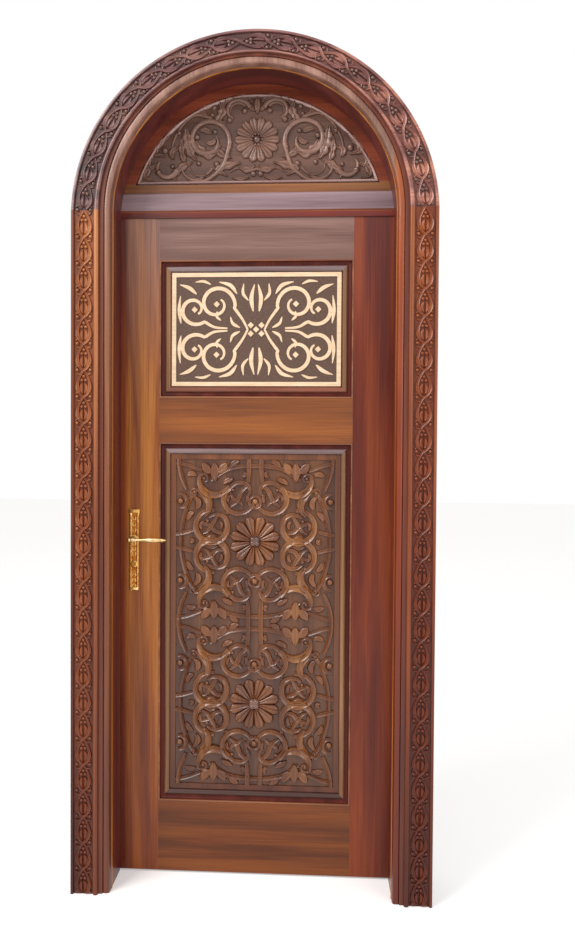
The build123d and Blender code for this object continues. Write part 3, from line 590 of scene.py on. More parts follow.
beds = addNode(
    petalTree, "GeometryNodeInstanceOnPoints",
    links={"Points": entry.outputs["Geometry"], "Instance": flower.outputs[0]},
)
endTree(petalTree, entry, beds.outputs[0])
print("node trees built")


# Runs a tree on a source object and returns a plain mesh
def grow(source, tree, inputs):
    modifier = source.modifiers.new("grow", "NODES")
    modifier.node_group = tree
    for item in tree.interface.items_tree:
        if item.in_out == "INPUT" and item.name in inputs:
            modifier[item.identifier] = inputs[item.name]
    graph = bpy.context.evaluated_depsgraph_get()
    mesh = bpy.data.meshes.new_from_object(source.evaluated_get(graph), depsgraph=graph)
    source.modifiers.remove(modifier)
    bpy.data.objects.remove(source)
    return mesh


def linked(name, data):
    holder = bpy.data.objects.new(name, data)
    scene.collection.objects.link(holder)
    return holder


# A curve of straight-stepped lines; each line is (points, outward heights, radii)
def lineWork(name, lines):
    curve = bpy.data.curves.new(name, "CURVE")
    curve.dimensions = "3D"
    curve.twist_mode = "Z_UP"
    for points, heights, radii in lines:
        count = len(points)
        spline = curve.splines.new("POLY")
        spline.points.add(count - 1)
        rows = np.ones((count, 4))
        rows[:, :2] = points
        rows[:, 2] = heights
        spline.points.foreach_set("co", rows.ravel())
        spline.points.foreach_set("radius", np.broadcast_to(radii, (count,)).astype(float).copy())
    return linked(name, curve)


def profileCurve(name, points):
    curve = bpy.data.curves.new(name, "CURVE")
    curve.dimensions = "3D"
    spline = curve.splines.new("POLY")
    spline.points.add(len(points) - 1)
    for slotPoint, (x, y) in zip(spline.points, points):
        slotPoint.co = (x, y, 0, 1)
    spline.use_cyclic_u = True
    return linked(name, curve)


# The next three return a part of a piece: its mesh, its place and its finish
def sweep(name, lines, profile, width, height, place, material):
    sizes = {"Profile": profile, "Width": width, "Height": height, "Finish": material}
    return grow(lineWork(name, lines), strapTree, sizes), place, material


def dotCloud(name, rows, shape, place, material):
    mesh = bpy.data.meshes.new(name)
    mesh.from_pydata([row[:3] for row in rows], [], [])
    sizes = mesh.attributes.new("size", "FLOAT", "POINT")
    sizes.data.foreach_set("value", [row[3] for row in rows])
    values = {"Shape": shape, "Size": 1.0, "Finish": material}
    return grow(linked(name, mesh), dotTree, values), place, material


def flowers(name, centres, count, petalObject, place, material):
    mesh = bpy.data.meshes.new(name)
    mesh.from_pydata(centres, [], [])
    sizes = {"Petal": petalObject, "Count": count, "Finish": material}
    return grow(linked(name, mesh), petalTree, sizes), place, material


# Lines in a plan, in millimetres and degrees
def arc(cx, cy, radius, start, end, stepAngle):
    count = max(3, int(abs(end - start) / stepAngle) + 1)
    return spiral(cx, cy, radius, radius, start, end, count)


def spiral(cx, cy, radiusStart, radiusEnd, start, end, count):
    turns = np.radians(np.linspace(start, end, count))
    radii = np.linspace(radiusStart, radiusEnd, count)
    return np.stack([cx + radii * np.cos(turns), cy + radii * np.sin(turns)], 1)


# A smooth line through a few points
def flow(points, count):
    knots = np.array(points, float)
    padded = np.vstack([2 * knots[0] - knots[1], knots, 2 * knots[-1] - knots[-2]])
    fine = []
    for i in range(len(knots) - 1):
        a, b, c, d = padded[i:i + 4]
        for t in np.linspace(0, 1, 16, endpoint=False):
            bend = (2 * a - 5 * b + 4 * c - d) * t**2 + (3 * b - a - 3 * c + d) * t**3
            fine.append(0.5 * (2 * b + (c - a) * t + bend))
    fine = np.array(fine + [knots[-1]])
    length = np.concatenate([[0], np.cumsum(np.linalg.norm(np.diff(fine, axis=0), axis=1))])
    marks = np.linspace(0, length[-1], count)
    return np.stack([np.interp(marks, length, fine[:, k]) for k in range(fine.shape[1])], 1)


def mirrored(points, u=1, v=1):
    return np.array(points, float) * (u, v)


def circle(sides):
    return np.linspace(0, 2 * math.pi, sides, endpoint=False)


# A carved leaf or petal: a crowned strip with a middle groove, lobed edges and slanting veins
carvedLeaf = {"lobeDepth": 0.36, "veinDepth": 0.16, "veinSlant": 0.7, "grooveWidth": 0.22}


def blade(bag, spine, widths, heights, groove, lobes=0, veins=0, across=9, floor=-1.2, warp=None):
    spine = np.array(spine, float)
    count = len(spine)
    t = np.linspace(0, 1, count)
    along = np.gradient(spine, axis=0)
    along /= np.linalg.norm(along, axis=1)[:, None] + 1e-9
    side = np.stack([-along[:, 1], along[:, 0]], 1)
    lobed = 1 - carvedLeaf["lobeDepth"] * (0.5 - 0.5 * np.cos(2 * np.pi * lobes * t))
    widths = np.broadcast_to(widths, (count,)) * lobed
    heights = np.broadcast_to(heights, (count,))
    s = np.linspace(-1, 1, across)
    crown = (1 - np.abs(s) ** 2.4) ** 0.6 - groove * np.exp(-((s / carvedLeaf["grooveWidth"]) ** 2))
    rings = []
    for i in range(count):
        ripple = 1
        if veins:
            wave = np.cos(2 * np.pi * (veins * t[i] - carvedLeaf["veinSlant"] * np.abs(s)))
            ripple = 1 + carvedLeaf["veinDepth"] * wave * (np.abs(s) < 0.95)
        top = np.maximum(heights[i] * crown * ripple, 0.0)
        plan = spine[i] + side[i] * widths[i] * s[:, None]
        ring = [(p[0], p[1], h) for p, h in zip(plan, top)]
        ring.append((plan[-1][0], plan[-1][1], floor))
        ring.append((plan[0][0], plan[0][1], floor))
        if warp:
            ring = [warp(p) for p in ring]
        rings.append(ring)
    loft(bag, rings)


def leafWidths(count, width, swell, tip=0.06):
    t = np.linspace(0, 1, count)
    opening = np.sin(t / swell * np.pi / 2)
    closing = np.cos((t - swell) / (1 - swell) * np.pi / 2)
    return width * (tip + (1 - tip) * np.where(t < swell, opening, closing) ** 0.8)


# Profiles: x across from -0.5 to 0.5, y from the ground to 1
halfTurn = np.linspace(0, math.pi, 17)
rimmedProfile = profileCurve(
    "rimmedStrap",
    [
        (-0.5, -0.2), (-0.5, 0.5), (-0.46, 0.84), (-0.39, 1.0), (-0.3, 0.92), (-0.15, 0.64), (0, 0.55),
        (0.15, 0.64), (0.3, 0.92), (0.39, 1.0), (0.46, 0.84), (0.5, 0.5), (0.5, -0.2),
    ],
)
vineRound = [(-0.5 * math.cos(a), 0.25 + 0.75 * math.sin(a)) for a in halfTurn[::2]]
roundProfile = profileCurve("roundVine", [(-0.5, -0.2)] + vineRound + [(0.5, -0.2)])
flatProfile = profileCurve(
    "flatStrip", [(-0.5, -0.1), (-0.5, 0.8), (-0.46, 1.0), (0.46, 1.0), (0.5, 0.8), (0.5, -0.1)],
)
boardRound = [
    (-0.5 * math.copysign(abs(math.cos(a)) ** 0.5, math.cos(a)), math.sin(a) ** 0.5) for a in halfTurn[1:-1]
]
boardProfile = profileCurve("roundedBoard", boardRound + [(0.5, -0.1), (-0.5, -0.1)])
noseRound = [(-0.5 * math.cos(a), math.sin(a)) for a in halfTurn]
noseProfile = profileCurve("halfRoundNose", noseRound + [(0.5, -0.1), (-0.5, -0.1)])


# A berry or bead: a low dome of a few dozen faces
def domeShape(name):
    rise = 0.9
    tilts = np.linspace(-0.35, math.pi / 2 - 0.12, 5)
    rings = [
        [(math.cos(a) * math.cos(b), math.cos(a) * math.sin(b), rise * math.sin(a)) for b in circle(10)]
        for a in tilts
    ]
    return linked(name, lofted(name, rings))


berryShape = domeShape("berryShape")


# Carved casing: leg section, crossing ribbons, split leaves, berries and curls
casing = {
    "inner": 478.0, "bandInner": 502.0, "filletInner": 565.0, "outer": 575.0,
    "groove": 8.5, "grooveInner": 472.5, "grooveDepth": 11.0,
    "crownBead": 9.0, "crownBand": 55.0, "crownFillet": 8.8,
    "legLoops": 26, "archLoops": 19, "endGap": 4.2,
    "ribbonWidth": 10.0, "ribbonHeight": 5.6, "swing": 20.0, "lift": 2.2,
    "leafWidth": 7.2, "leafHeight": 6.2, "berry": 5.4, "sideBerry": 5.8, "berrySeat": 2.0, "beadRise": 5.0,
}


# Section across the casing from the inner to the outer edge, as (x, y)
def casingSection():
    front, back, face = door["casingFront"], door["casingBack"], door["bandFace"]
    inner, band, fillet, outer = casing["inner"], casing["bandInner"], casing["filletInner"], casing["outer"]
    edge = inner + casing["groove"]
    rollHalf = (band - edge - 0.6) / 2
    middle = edge + rollHalf
    points = [(edge, back), (edge, front + 7.0)]
    for a in np.linspace(0.1, math.pi - 0.1, 11):
        points.append((middle - rollHalf * math.cos(a), front + casing["beadRise"] * (1 - math.sin(a))))
    points += [(band, face), (fillet, face), (fillet + 0.6, front + 3.4), (fillet + 2.2, front + 2.0)]
    points += [(outer - 3, front + 2.0), (outer - 0.8, front + 2.9), (outer, front + 5.0), (outer, back)]
    return points


# Sunk strip between the bead and the nose, as (x, y)
def grooveSection():
    inner, outer = casing["grooveInner"], casing["inner"] + casing["groove"] + 0.5
    back, floor = door["casingBack"], door["casingFront"] + casing["grooveDepth"]
    return [(inner, back), (inner, floor + 1.0), (inner + 1.0, floor), (outer, floor), (outer, back)]


# How far out a leg place lies at the crown of the arch
def crownRise(x):
    legs = (0.0, casing["inner"], casing["bandInner"], casing["filletInner"], casing["outer"])
    rises = np.cumsum([0.0, casing["inner"], casing["crownBead"], casing["crownBand"], casing["crownFillet"]])
    return float(np.interp(x, legs, rises))


def archPlace(half, share):
    rise = crownRise(half)
    radius = (half**2 + rise**2) / (2 * rise)
    start = math.asin((radius - rise) / radius)
    turn = start + share * (math.pi - 2 * start)
    return radius * math.cos(turn), radius * math.sin(turn) - (radius - rise) + door["springHeight"]


bandMiddle = (casing["bandInner"] + casing["filletInner"]) / 2
bandRise = crownRise(bandMiddle)
bandRadius = (bandMiddle**2 + bandRise**2) / (2 * bandRise)
bandDrop = bandRadius - bandRise
bandStart = math.asin(bandDrop / bandRadius)
archLength = bandRadius * (math.pi - 2 * bandStart)
legPitch = door["springHeight"] / casing["legLoops"]
archPitch = archLength / casing["archLoops"]


# Plan of the band: u across, v along; bent round for the arch
def archWarp(point):
    u, v, h = point
    turn = bandStart + v / bandRadius
    shrink = 1 - 0.12 * math.sin((turn - bandStart) / (math.pi - 2 * bandStart) * math.pi)
    reach = bandRadius + u * shrink
    return (reach * math.cos(turn), reach * math.sin(turn) - bandDrop + door["springHeight"], h)


# The two ribbons, over and under each other by turns
def ribbonLines(loops, pitch, warp, turnOver):
    lines = []
    steps = 14
    v = np.linspace(casing["endGap"], loops * pitch - casing["endGap"], loops * steps + 1)
    phase = np.pi * v / pitch
    up = (v / pitch) % 1
    if turnOver is not None:
        up = np.where(v > (turnOver + 1) * pitch, 1 - up, up)
    wave = casing["swing"] * np.where(np.floor(v / pitch) % 2 == 0, 1, -1) * np.sin(np.pi * up**0.76) ** 0.85
    radii = 0.82 + 0.5 * np.exp(-(((up - 0.3) / 0.18) ** 2))
    for side in (1, -1):
        lift = casing["lift"] * side * np.cos(phase) * np.abs(np.cos(phase)) ** 3
        rows = np.stack([side * wave, v, 0.2 + np.maximum(lift, -0.6)], 1)
        if warp:
            rows = np.array([warp(row) for row in rows])
        lines.append((rows[:, :2], rows[:, 2], radii))
    return lines


# Split leaf, stem and hook in one half of a loop:
# knots, count, width, swell, height, groove and points across
casingSprigs = (
    ([(1.5, 8), (7.2, 20), (8.0, 31), (2.6, 46)], 12, casing["leafWidth"], 0.5, casing["leafHeight"], 0.2, 7),
    ([(10, 15), (20, 13), (27, 6)], 8, 3.8, 0.4, 5.0, 0.0, 5),
    ([(9, -12), (18, -13), (25, -8)], 8, 3.6, 0.4, 4.8, 0.0, 5),
)


# Leaves and berries; past the loop turnOver they point the other way
def casingLeaves(loops, pitch, warp, turnOver):
    bag, berries = newBag(), []
    for loop in range(loops):
        base, up = loop * pitch, 1
        if turnOver is not None and loop > turnOver:
            base, up = base + pitch, -1
        sprigs = casingSprigs if loop else casingSprigs[:2]
        sideRise = 0.5 if loop else 7.0
        spots = [(0.0, 64, casing["berry"])]
        for side in (1, -1):
            for knots, count, width, swell, height, groove, across in sprigs:
                spine = mirrored(flow(knots, count), side, up) + (0, base)
                blade(bag, spine, leafWidths(count, width, swell), height, groove, across=across, warp=warp)
            spots += [(side * 6.2, 52, casing["berry"]), (side * 21.0, sideRise, casing["sideBerry"])]
        for u, v, size in spots:
            place = (u, base + up * v, casing["berrySeat"])
            berries.append((*(warp(place) if warp else place), size))
    return bag, berries


# One casing: its plain sections along the path, then the carving on its band
def carveCasing(name, node, timber, berryFinish, place, solids, loops, pitch, warp=None, turnOver=None):
    parts = [(lofted("casingBase", solids[0]), plain, timber)]
    parts.append((lofted("casingGroove", solids[1]), plain, grooveTimber))
    leaves, berries = casingLeaves(loops, pitch, warp, turnOver)
    parts += [
        sweep(
            "casingRibbons", ribbonLines(loops, pitch, warp, turnOver), rimmedProfile,
            casing["ribbonWidth"], casing["ribbonHeight"], place, timber,
        ),
        (bagMesh("casingLeaves", leaves), place, timber),
        dotCloud("casingBerries", berries, berryShape, place, berryFinish),
    ]
    makePiece(name, parts, "frame", [node])


def legRings(outline, side):
    return [[(side * x, y, z) for x, y in outline] for z in (0.0, door["springHeight"])]


def archRings(outline):
    rings = []
    for share in np.linspace(0, 1, 97):
        places = [(archPlace(x, share), y) for x, y in outline]
        rings.append([(x, y, z) for (x, z), y in places])
    return rings


outlines = (casingSection(), grooveSection())
for sideName, side in (("right", 1), ("left", -1)):
    carveCasing(
        sideName + "CasingCarving", sideName + "_casing", casingTimber, casingTimber,
        facing(door["bandFace"], side * bandMiddle), [legRings(outline, side) for outline in outlines],
        casing["legLoops"], legPitch,
    )
carveCasing(
    "archCasingCarving", "arch_casing", archTimber, berryShadeTimber,
    facing(door["bandFace"]), [archRings(outline) for outline in outlines],
    casing["archLoops"], archPitch, archWarp, casing["archLoops"] // 2,
)
print("casings carved")


# Half-round nose on the front edge of the jambs, up one leg, round the arch and down the other
nose = {
    "radius": 463.0, "width": 24.0, "height": 28.0,
    "fillet": 451.6, "filletWidth": 5.0, "filletHeight": 5.0, "filletBack": 5.0, "toe": 0.4,
}


def jambLine(radius):
    spring = door["springHeight"]
    toe, knee = nose["toe"], spring * 0.5
    crown = arc(0, spring, radius, 0, 180, 1.8)
    points = np.vstack([[(radius, toe), (radius, knee)], crown, [(-radius, knee), (-radius, toe)]])
    return [(points, 0.0, 1.0)]


makePiece(
    "jambNose",
    [
        sweep(
            "noseLine", jambLine(nose["radius"]), boardProfile, nose["width"], nose["height"],
            facing(door["casingBack"]), noseTimber,
        ),
        sweep(
            "edgeLine", jambLine(nose["fillet"]), noseProfile, nose["filletWidth"], nose["filletHeight"],
            facing(door["casingBack"] + nose["filletBack"]), edgeTimber,
        ),
    ],
    "frame",
)

# Bead round the lunette's sight line, pale with painted sky reflection, and a second one along its sill
lunette = {
    "centre": 2454.0, "sight": 423.0, "sill": 2305.0, "bead": 10.0, "beadHeight": 8.0,
    "boardRadius": 432.8, "boardLow": 2295.2, "boardThick": 25.0,
    "petals": 14, "petalStart": 17.0, "petalReach": 76.0, "petalWidth": 16.5, "petalHeight": 9.6,
    "petalTip": 0.34, "petalHollow": 0.4, "petalTurn": 0.0, "vine": 13.0, "vineHeight": 7.6,
    "berry": 10.4, "crownRise": 0.62, "crownSize": 0.46, "boss": 14.0, "bossRing": 18.0, "bossBead": 5.4,
}
beadRadius = lunette["sight"] - lunette["bead"] / 2
sillHeight = lunette["sill"] + lunette["bead"]
sillStart = math.degrees(math.asin((sillHeight - door["springHeight"]) / beadRadius))
sillReach = beadRadius * math.cos(math.radians(sillStart))
beadLines = [
    (arc(0, door["springHeight"], beadRadius, sillStart - 0.4, 180.4 - sillStart, 2.0), 0.0, 1.0),
    (np.array([(x, sillHeight) for x in (-sillReach, 0, sillReach)]), 0.0, 1.0),
]
makePiece(
    "lunetteBead",
    [sweep(
        "lunetteBeadLine", beadLines, noseProfile, lunette["bead"], lunette["beadHeight"],
        facing(door["lunetteFace"]), beadTimber,
    )],
    "frame",
)


# One petal, pointing along u, hollowed between its rims
def petalShape(name, look):
    bag = newBag()
    t = np.linspace(0, 1, 15)
    begin, end, roundTip = look["petalStart"], look["petalReach"], look["petalTip"]
    spine = np.stack([begin + (end - begin) * t, 0 * t], 1)
    widening = 0.3 + 0.7 * np.minimum(t / 0.78, 1.0)
    tip = np.sqrt(np.maximum(1 - np.maximum((t - 1 + roundTip) / roundTip, 0) ** 2, 0.002))
    heights = look["petalHeight"] * (0.72 + 0.28 * t) * (0.35 + 0.65 * tip)
    blade(bag, spine, look["petalWidth"] * widening * tip, heights, look["petalHollow"], across=11)
    mesh = bagMesh(name, bag)
    mesh.transform(Matrix.Rotation(math.radians(look["petalTurn"]), 4, "Z"))
    return linked(name, mesh)


# Lunette: a board with vine scrolls, acanthus leaves, berries and a rosette
def lunetteBoard():
    radius, low = lunette["boardRadius"], lunette["boardLow"] - door["springHeight"]
    start = math.asin(low / radius)
    turns = np.linspace(start, math.pi - start, 61)
    rim = [(radius * math.cos(a), radius * math.sin(a) + door["springHeight"]) for a in turns]
    face = door["lunetteFace"]
    depths = (face, face + lunette["boardThick"])
    return lofted("lunetteBoard", [[(x, y, z) for x, z in rim] for y in depths])


def vineLine(points, thick, end, rise):
    count = len(points)
    return np.array(points, float), np.full(count, rise), thick * np.linspace(1.0, end, count)


def lunetteVines():
    lines = []
    for side in (1, -1):
        for points, thick, end, rise in (
            (spiral(164, -1, 74, 44, 195, -75, 40), 1.3, 1.1, 0.4),
            (spiral(164, -1, 44, 32, -75, -200, 18), 1.43, 0.4, 0.4),
            (flow([(90, -6), (96, -34), (118, -92), (176, -134), (236, -118), (254, -78)], 30), 1.3, 0.53, 0.4),
            (spiral(196, -76, 50, 28, 200, 360, 24), 0.8, 0.35, 0.0),
            (flow([(150, 72), (206, 84), (248, 52), (276, 6), (286, -34)], 24), 1.0, 0.6, 0.0),
            (spiral(305, -84, 42, 24, 200, 400, 24), 1.6, 0.5, 0.0),
            (spiral(292, 0, 40, 34, 200, 300, 16), 0.7, 0.4, 0.0),
            (spiral(68, 92, 46, 24, 165, -60, 30), 1.3, 0.7, 0.4),
            (spiral(68, 92, 34, 20, 150, -10, 24), 1.0, 0.5, 0.0),
            (flow([(0, -96), (34, -104), (62, -92), (92, -106)], 18), 0.9, 0.5, 0.0),
        ):
            lines.append(vineLine(mirrored(points, side), thick, end, rise))
    return lines


def lunetteLeaves():
    bag = newBag()
    for side in (1, -1):
        for points, width, height, lobes, veins in (
            (flow([(236, 42), (232, 0), (222, -36), (204, -66)], 22), 21, 9.5, 4, 5),
            (flow([(250, 8), (252, -30), (244, -62), (230, -84)], 20), 12, 8.0, 3, 4),
            (flow([(214, -70), (246, -84), (276, -112), (268, -136)], 20), 15, 7.5, 3, 4),
            (flow([(124, 124), (116, 96), (128, 64), (104, 50)], 20), 17, 9.0, 3, 4),
            (flow([(14, 122), (46, 142), (90, 138), (118, 106)], 20), 15, 8.5, 3, 4),
            (flow([(146, 126), (180, 112), (180, 86), (156, 76)], 18), 12, 7.5, 3, 3),
            (flow([(206, -2), (186, -34), (158, -48), (126, -38)], 22), 18, 8.5, 3, 4),
            (flow([(84, -58), (112, -50), (132, -30), (118, -14)], 16), 12, 7.5, 2, 3),
            (flow([(54, -74), (92, -82), (128, -98), (98, -118)], 20), 15, 8.0, 3, 4),
            (flow([(6, -84), (34, -98), (64, -88)], 14), 12, 7.0, 2, 3),
            (flow([(292, 16), (326, -8), (340, -40), (306, -52)], 18), 14, 7.5, 3, 4),
            (flow([(330, -80), (360, -92), (374, -120), (342, -130)], 16), 12, 6.5, 2, 3),
            (flow([(244, 70), (278, 54), (294, 18)], 14), 11, 6.5, 2, 3),
            (flow([(168, -112), (206, -136), (236, -124)], 14), 10, 6.5, 2, 3),
        ):
            widths = leafWidths(len(points), 1.2 * width, 0.45, 0.12)
            blade(bag, mirrored(points, side), widths, height, 0.4, lobes, veins)
        for knots, width in (
            ([(8, 92), (22, 108), (30, 126)], 9.0), ([(150, 22), (172, 34), (190, 30)], 12.0),
            ([(136, 6), (150, -8), (170, -10)], 11.0), ([(352, -56), (366, -76), (352, -96)], 12.0),
            ([(270, -20), (286, -40), (276, -62)], 12.0), ([(24, -122), (52, -128), (84, -124)], 8.0),
        ):
            points = mirrored(flow(knots, 14), side)
            blade(bag, points, leafWidths(len(points), width, 0.5, 0.15), 7.4, 0.35)
    blade(bag, flow([(0, 84), (0, 112), (0, 140)], 14), leafWidths(14, 13, 0.55), 9.4, 0.3)
    return bagMesh("lunetteLeaves", bag)


berries = []
for u, v, size in (
    (42, 95, 1.0), (92, 66, 1.1), (143, 107, 0.9), (200, 11, 1.1), (140, 28, 0.9), (97, -24, 1.0),
    (134, -79, 1.1), (194, -76, 0.9), (260, 26, 0.9), (308, -31, 1.2), (329, -103, 1.1), (12, -112, 1.0),
    (282, -84, 0.8), (150, 84, 0.8),
):
    berries += [(side * u, v, 0.0, size * lunette["berry"]) for side in (1, -1)]
# the lit crown of each berry
crowns = [(u, v, lunette["crownRise"] * size, lunette["crownSize"] * size) for u, v, h, size in berries]
boss = [(0, 0, 0.0, lunette["boss"])]
for a in circle(10):
    u, v = lunette["bossRing"] * math.cos(a), lunette["bossRing"] * math.sin(a)
    boss.append((u, v, 4.0, lunette["bossBead"]))
lunettePetal = petalShape("lunettePetal", lunette)
lunettePlace = facing(door["lunetteFace"], 0, lunette["centre"])
makePiece(
    "lunetteCarving",
    [
        (lunetteBoard(), plain, lunetteTimber),
        sweep(
            "lunetteVines", lunetteVines(), roundProfile, lunette["vine"], lunette["vineHeight"],
            lunettePlace, lunetteTimber,
        ),
        (lunetteLeaves(), lunettePlace, lunetteTimber),
        dotCloud("lunetteBerries", berries, berryShape, lunettePlace, berryShadeTimber),
        dotCloud("lunetteCrowns", crowns, berryShape, lunettePlace, lunetteTimber),
        flowers("lunetteRosette", [(0, 0, 0)], lunette["petals"], lunettePetal, lunettePlace, lunetteTimber),
        dotCloud("lunetteBoss", boss, berryShape, lunettePlace, berryShadeTimber),
    ],
    "frame", ["lunette_panel"],
)
print("lunette carved")


# Lower panel: two equal units of strapwork round a rosette, on a sunk ground
strapwork = {
    "units": (573.4, 1121.1), "width": 16.5, "height": 8.6,
    "petals": 12, "petalStart": 19.0, "petalReach": 86.0, "petalWidth": 19.0, "petalHeight": 9.6,
    "petalTip": 0.3, "petalHollow": 0.45, "petalTurn": 15.0,
    "boss": 23.0, "bossSeat": -7.0, "lobe": 11.0, "lobeSeat": 4.6, "lobeRing": 9.6,
}


def strapLines():
    low, mid, high = -1.4, -0.2, 0.8
    sideRing = [spiral(145, 50, 55, 53, 100, -215, 50), spiral(145, 50, 53, 30, -215, -292, 14)[1:]]
    headRing = [spiral(57, 145, 54, 50, 190, 352, 34), spiral(57, 145, 50, 44, 352, 412, 12)[1:]]
    quarter = [
        # scrolled ring at the side, and the knot inside it
        (np.vstack(sideRing), high, 0.8, 1.4, 0.6),
        (flow([(104, 28), (130, 32), (150, 52), (184, 62)], 20), mid, 0.8, 1.0, 0.6),
        (flow([(176, 26), (160, 34), (140, 62), (126, 88)], 18), high, 0.5, 0.95, 0.7),
        # ring at the head, from the middle curl round to the corner crescent
        (np.vstack(headRing), high, 0.65, 1.05, 1.4),
        (flow([(86, 178), (66, 194), (40, 196), (22, 184), (18, 166), (28, 150)], 24), mid, 0.9, 1.0, 0.5),
        (flow([(28, 186), (46, 168), (60, 136), (84, 116)], 20), mid, 0.9, 1.05, 0.6),
        (flow([(40, 120), (52, 132), (72, 142), (82, 164)], 18), high, 0.5, 0.85, 0.6),
        # corner crescent with its curl
        (spiral(135, 206, 54, 50, 20, -156, 36), high, 0.6, 1.6, 0.7),
        (spiral(172, 210, 18, 7, 20, 330, 22), high, 0.6, 0.55, 0.35),
        # elbow leaf down to the side ring
        (flow([(204, 176), (178, 164), (156, 134), (156, 106), (168, 84)], 26), high, 0.5, 1.65, 0.7),
        (spiral(204, 164, 15, 6, 100, -200, 20), high, 0.55, 0.5, 0.35),
        # long arcs
        (flow([(250, -4), (249, 30), (240, 80), (219, 140), (188, 186)], 30), low, 0.9, 1.0, 0.8),
        (flow([(0, 253), (48, 251), (96, 240), (150, 204)], 26), low, 0.95, 1.0, 0.8),
        # short straps that run out to the edges
        (flow([(21, 275), (21, 240), (24, 196)], 14), mid, 1.0, 1.0, 0.8),
        (flow([(257, 275), (256, 252), (247, 212), (231, 172)], 20), mid, 0.95, 1.0, 0.8),
        (flow([(266, 262), (226, 254), (178, 236)], 18), low, 0.85, 0.9, 0.7),
        (flow([(266, 22), (240, 27), (206, 36)], 16), mid, 0.85, 0.9, 0.7),
        # curl at the edge, and the small ring between the side rings
        (spiral(252, 134, 25, 21, 75, 285, 24), mid, 0.7, 1.0, 0.7),
        (spiral(146, 0, 21, 21, -8, 188, 20), high, 0.75, 0.75, 0.75),
    ]
    lines = []
    for unit in strapwork["units"]:
        for u in (1, -1):
            for v in (1, -1):
                for points, rise, begin, middle, end in quarter:
                    shifted = mirrored(points, u, v) + (0, unit)
                    t = np.linspace(0, 1, len(shifted))
                    outer = np.where(t < 0.5, begin, end)
                    radii = outer + (middle - outer) * np.sin(t * math.pi) ** 1.2
                    lines.append((shifted, np.full(len(shifted), rise), radii))
                # a round curl over and under the rosette
                curl = mirrored(spiral(0, 134, 21, 17, 268, 60, 22), u, v) + (0, unit)
                lines.append((curl, np.full(len(curl), 1.2), np.linspace(0.8, 0.45, len(curl))))
    return lines


def strapLeaves():
    bag = newBag()
    quarter = [
        # split leaves that fill the side and head rings
        (flow([(170, 70), (184, 54), (178, 34)], 14), 9.0, 6.5),
        (flow([(124, 72), (112, 56), (116, 38)], 14), 8.0, 6.0),
        (flow([(150, 82), (134, 84), (120, 74)], 12), 7.0, 6.0),
        (flow([(80, 160), (92, 146), (90, 128)], 14), 9.0, 6.8),
        (flow([(34, 160), (26, 146), (32, 126)], 14), 8.0, 6.2),
        # trefoil between the units
        (flow([(136, 200), (137, 226), (136, 262)], 16), 19.0, 9.0),
        (flow([(130, 230), (112, 240), (96, 262)], 14), 18.0, 8.6),
        (flow([(144, 230), (162, 240), (178, 262)], 14), 18.0, 8.6),
        # leaves beside the crescent and the arcs
        (flow([(196, 220), (214, 226), (232, 218)], 14), 12.0, 7.0),
        (flow([(206, 152), (190, 130), (196, 104)], 16), 13.0, 7.6),
        (flow([(52, 270), (70, 262), (84, 246)], 14), 13.0, 6.8),
        (flow([(230, 66), (220, 88), (204, 98)], 14), 12.0, 6.8),
        (flow([(222, 8), (208, 0), (222, -8)], 10), 9.0, 6.4),
        (flow([(98, 90), (90, 104), (104, 118)], 12), 12.0, 6.6),
        (flow([(110, 190), (98, 200), (72, 212)], 14), 12.0, 7.4),
        (flow([(46, 214), (34, 222), (40, 236)], 12), 9.0, 6.4),
    ]
    for unit in strapwork["units"]:
        for u in (1, -1):
            for v in (1, -1):
                for points, width, height in quarter:
                    shifted = mirrored(points, u, v) + (0, unit)
                    blade(bag, shifted, leafWidths(len(shifted), width, 0.55, 0.2), height, 0.3)
    return bagMesh("strapLeaves", bag)


def strapDots():
    rows = []
    for unit in strapwork["units"]:
        for v in (1, -1):
            rows.append((0, unit + v * 134, 1.0, 11.0))
            for u in (1, -1):
                for x, y, h, size in (
                    (172, 210, 1.5, 6.5), (204, 164, 1.5, 6.0), (160, 68, 1.5, 7.0),
                    (74, 172, 1.5, 7.0), (252, 134, 0.0, 12.0), (146, 0, 0.0, 9.0),
                ):
                    rows.append((u * x, unit + v * y, h, size))
    return rows


# Four-lobed boss at the heart of each rosette
def bossDots():
    rows = []
    ring = strapwork["lobeRing"]
    for unit in strapwork["units"]:
        rows.append((0, unit, strapwork["bossSeat"], strapwork["boss"]))
        for a in math.pi / 4 + circle(4):
            place = (ring * math.cos(a), unit + ring * math.sin(a), strapwork["lobeSeat"])
            rows.append((*place, strapwork["lobe"]))
    return rows


def panelBoard(low, high):
    lap, reach = door["panelLap"], door["openingHalf"] + door["panelLap"]
    corners = [(-reach, low - lap), (reach, low - lap), (reach, high + lap), (-reach, high + lap)]
    depths = (door["panelFront"], door["panelBack"])
    return lofted("panelBoard", [[(x, y, z) for x, z in corners] for y in depths])


strapPetal = petalShape("strapPetal", strapwork)
strapPlace = facing(door["panelFront"])
rosettes = [(0, unit, 0) for unit in strapwork["units"]]
makePiece(
    "lowerPanelCarving",
    [
        (panelBoard(*door["openings"]["lower"]), plain, panelTimber),
        sweep(
            "strapLines", strapLines(), rimmedProfile, strapwork["width"], strapwork["height"],
            strapPlace, panelTimber,
        ),
        (strapLeaves(), strapPlace, panelTimber),
        dotCloud("strapDots", strapDots(), berryShape, strapPlace, panelTimber),
        dotCloud("bossDots", bossDots(), berryShape, strapPlace, berryShadeTimber),
        flowers("strapRosettes", rosettes, strapwork["petals"], strapPetal, strapPlace, panelTimber),
    ],
    "leaf", ["lower_panel"],
)
print("lower panel carved")


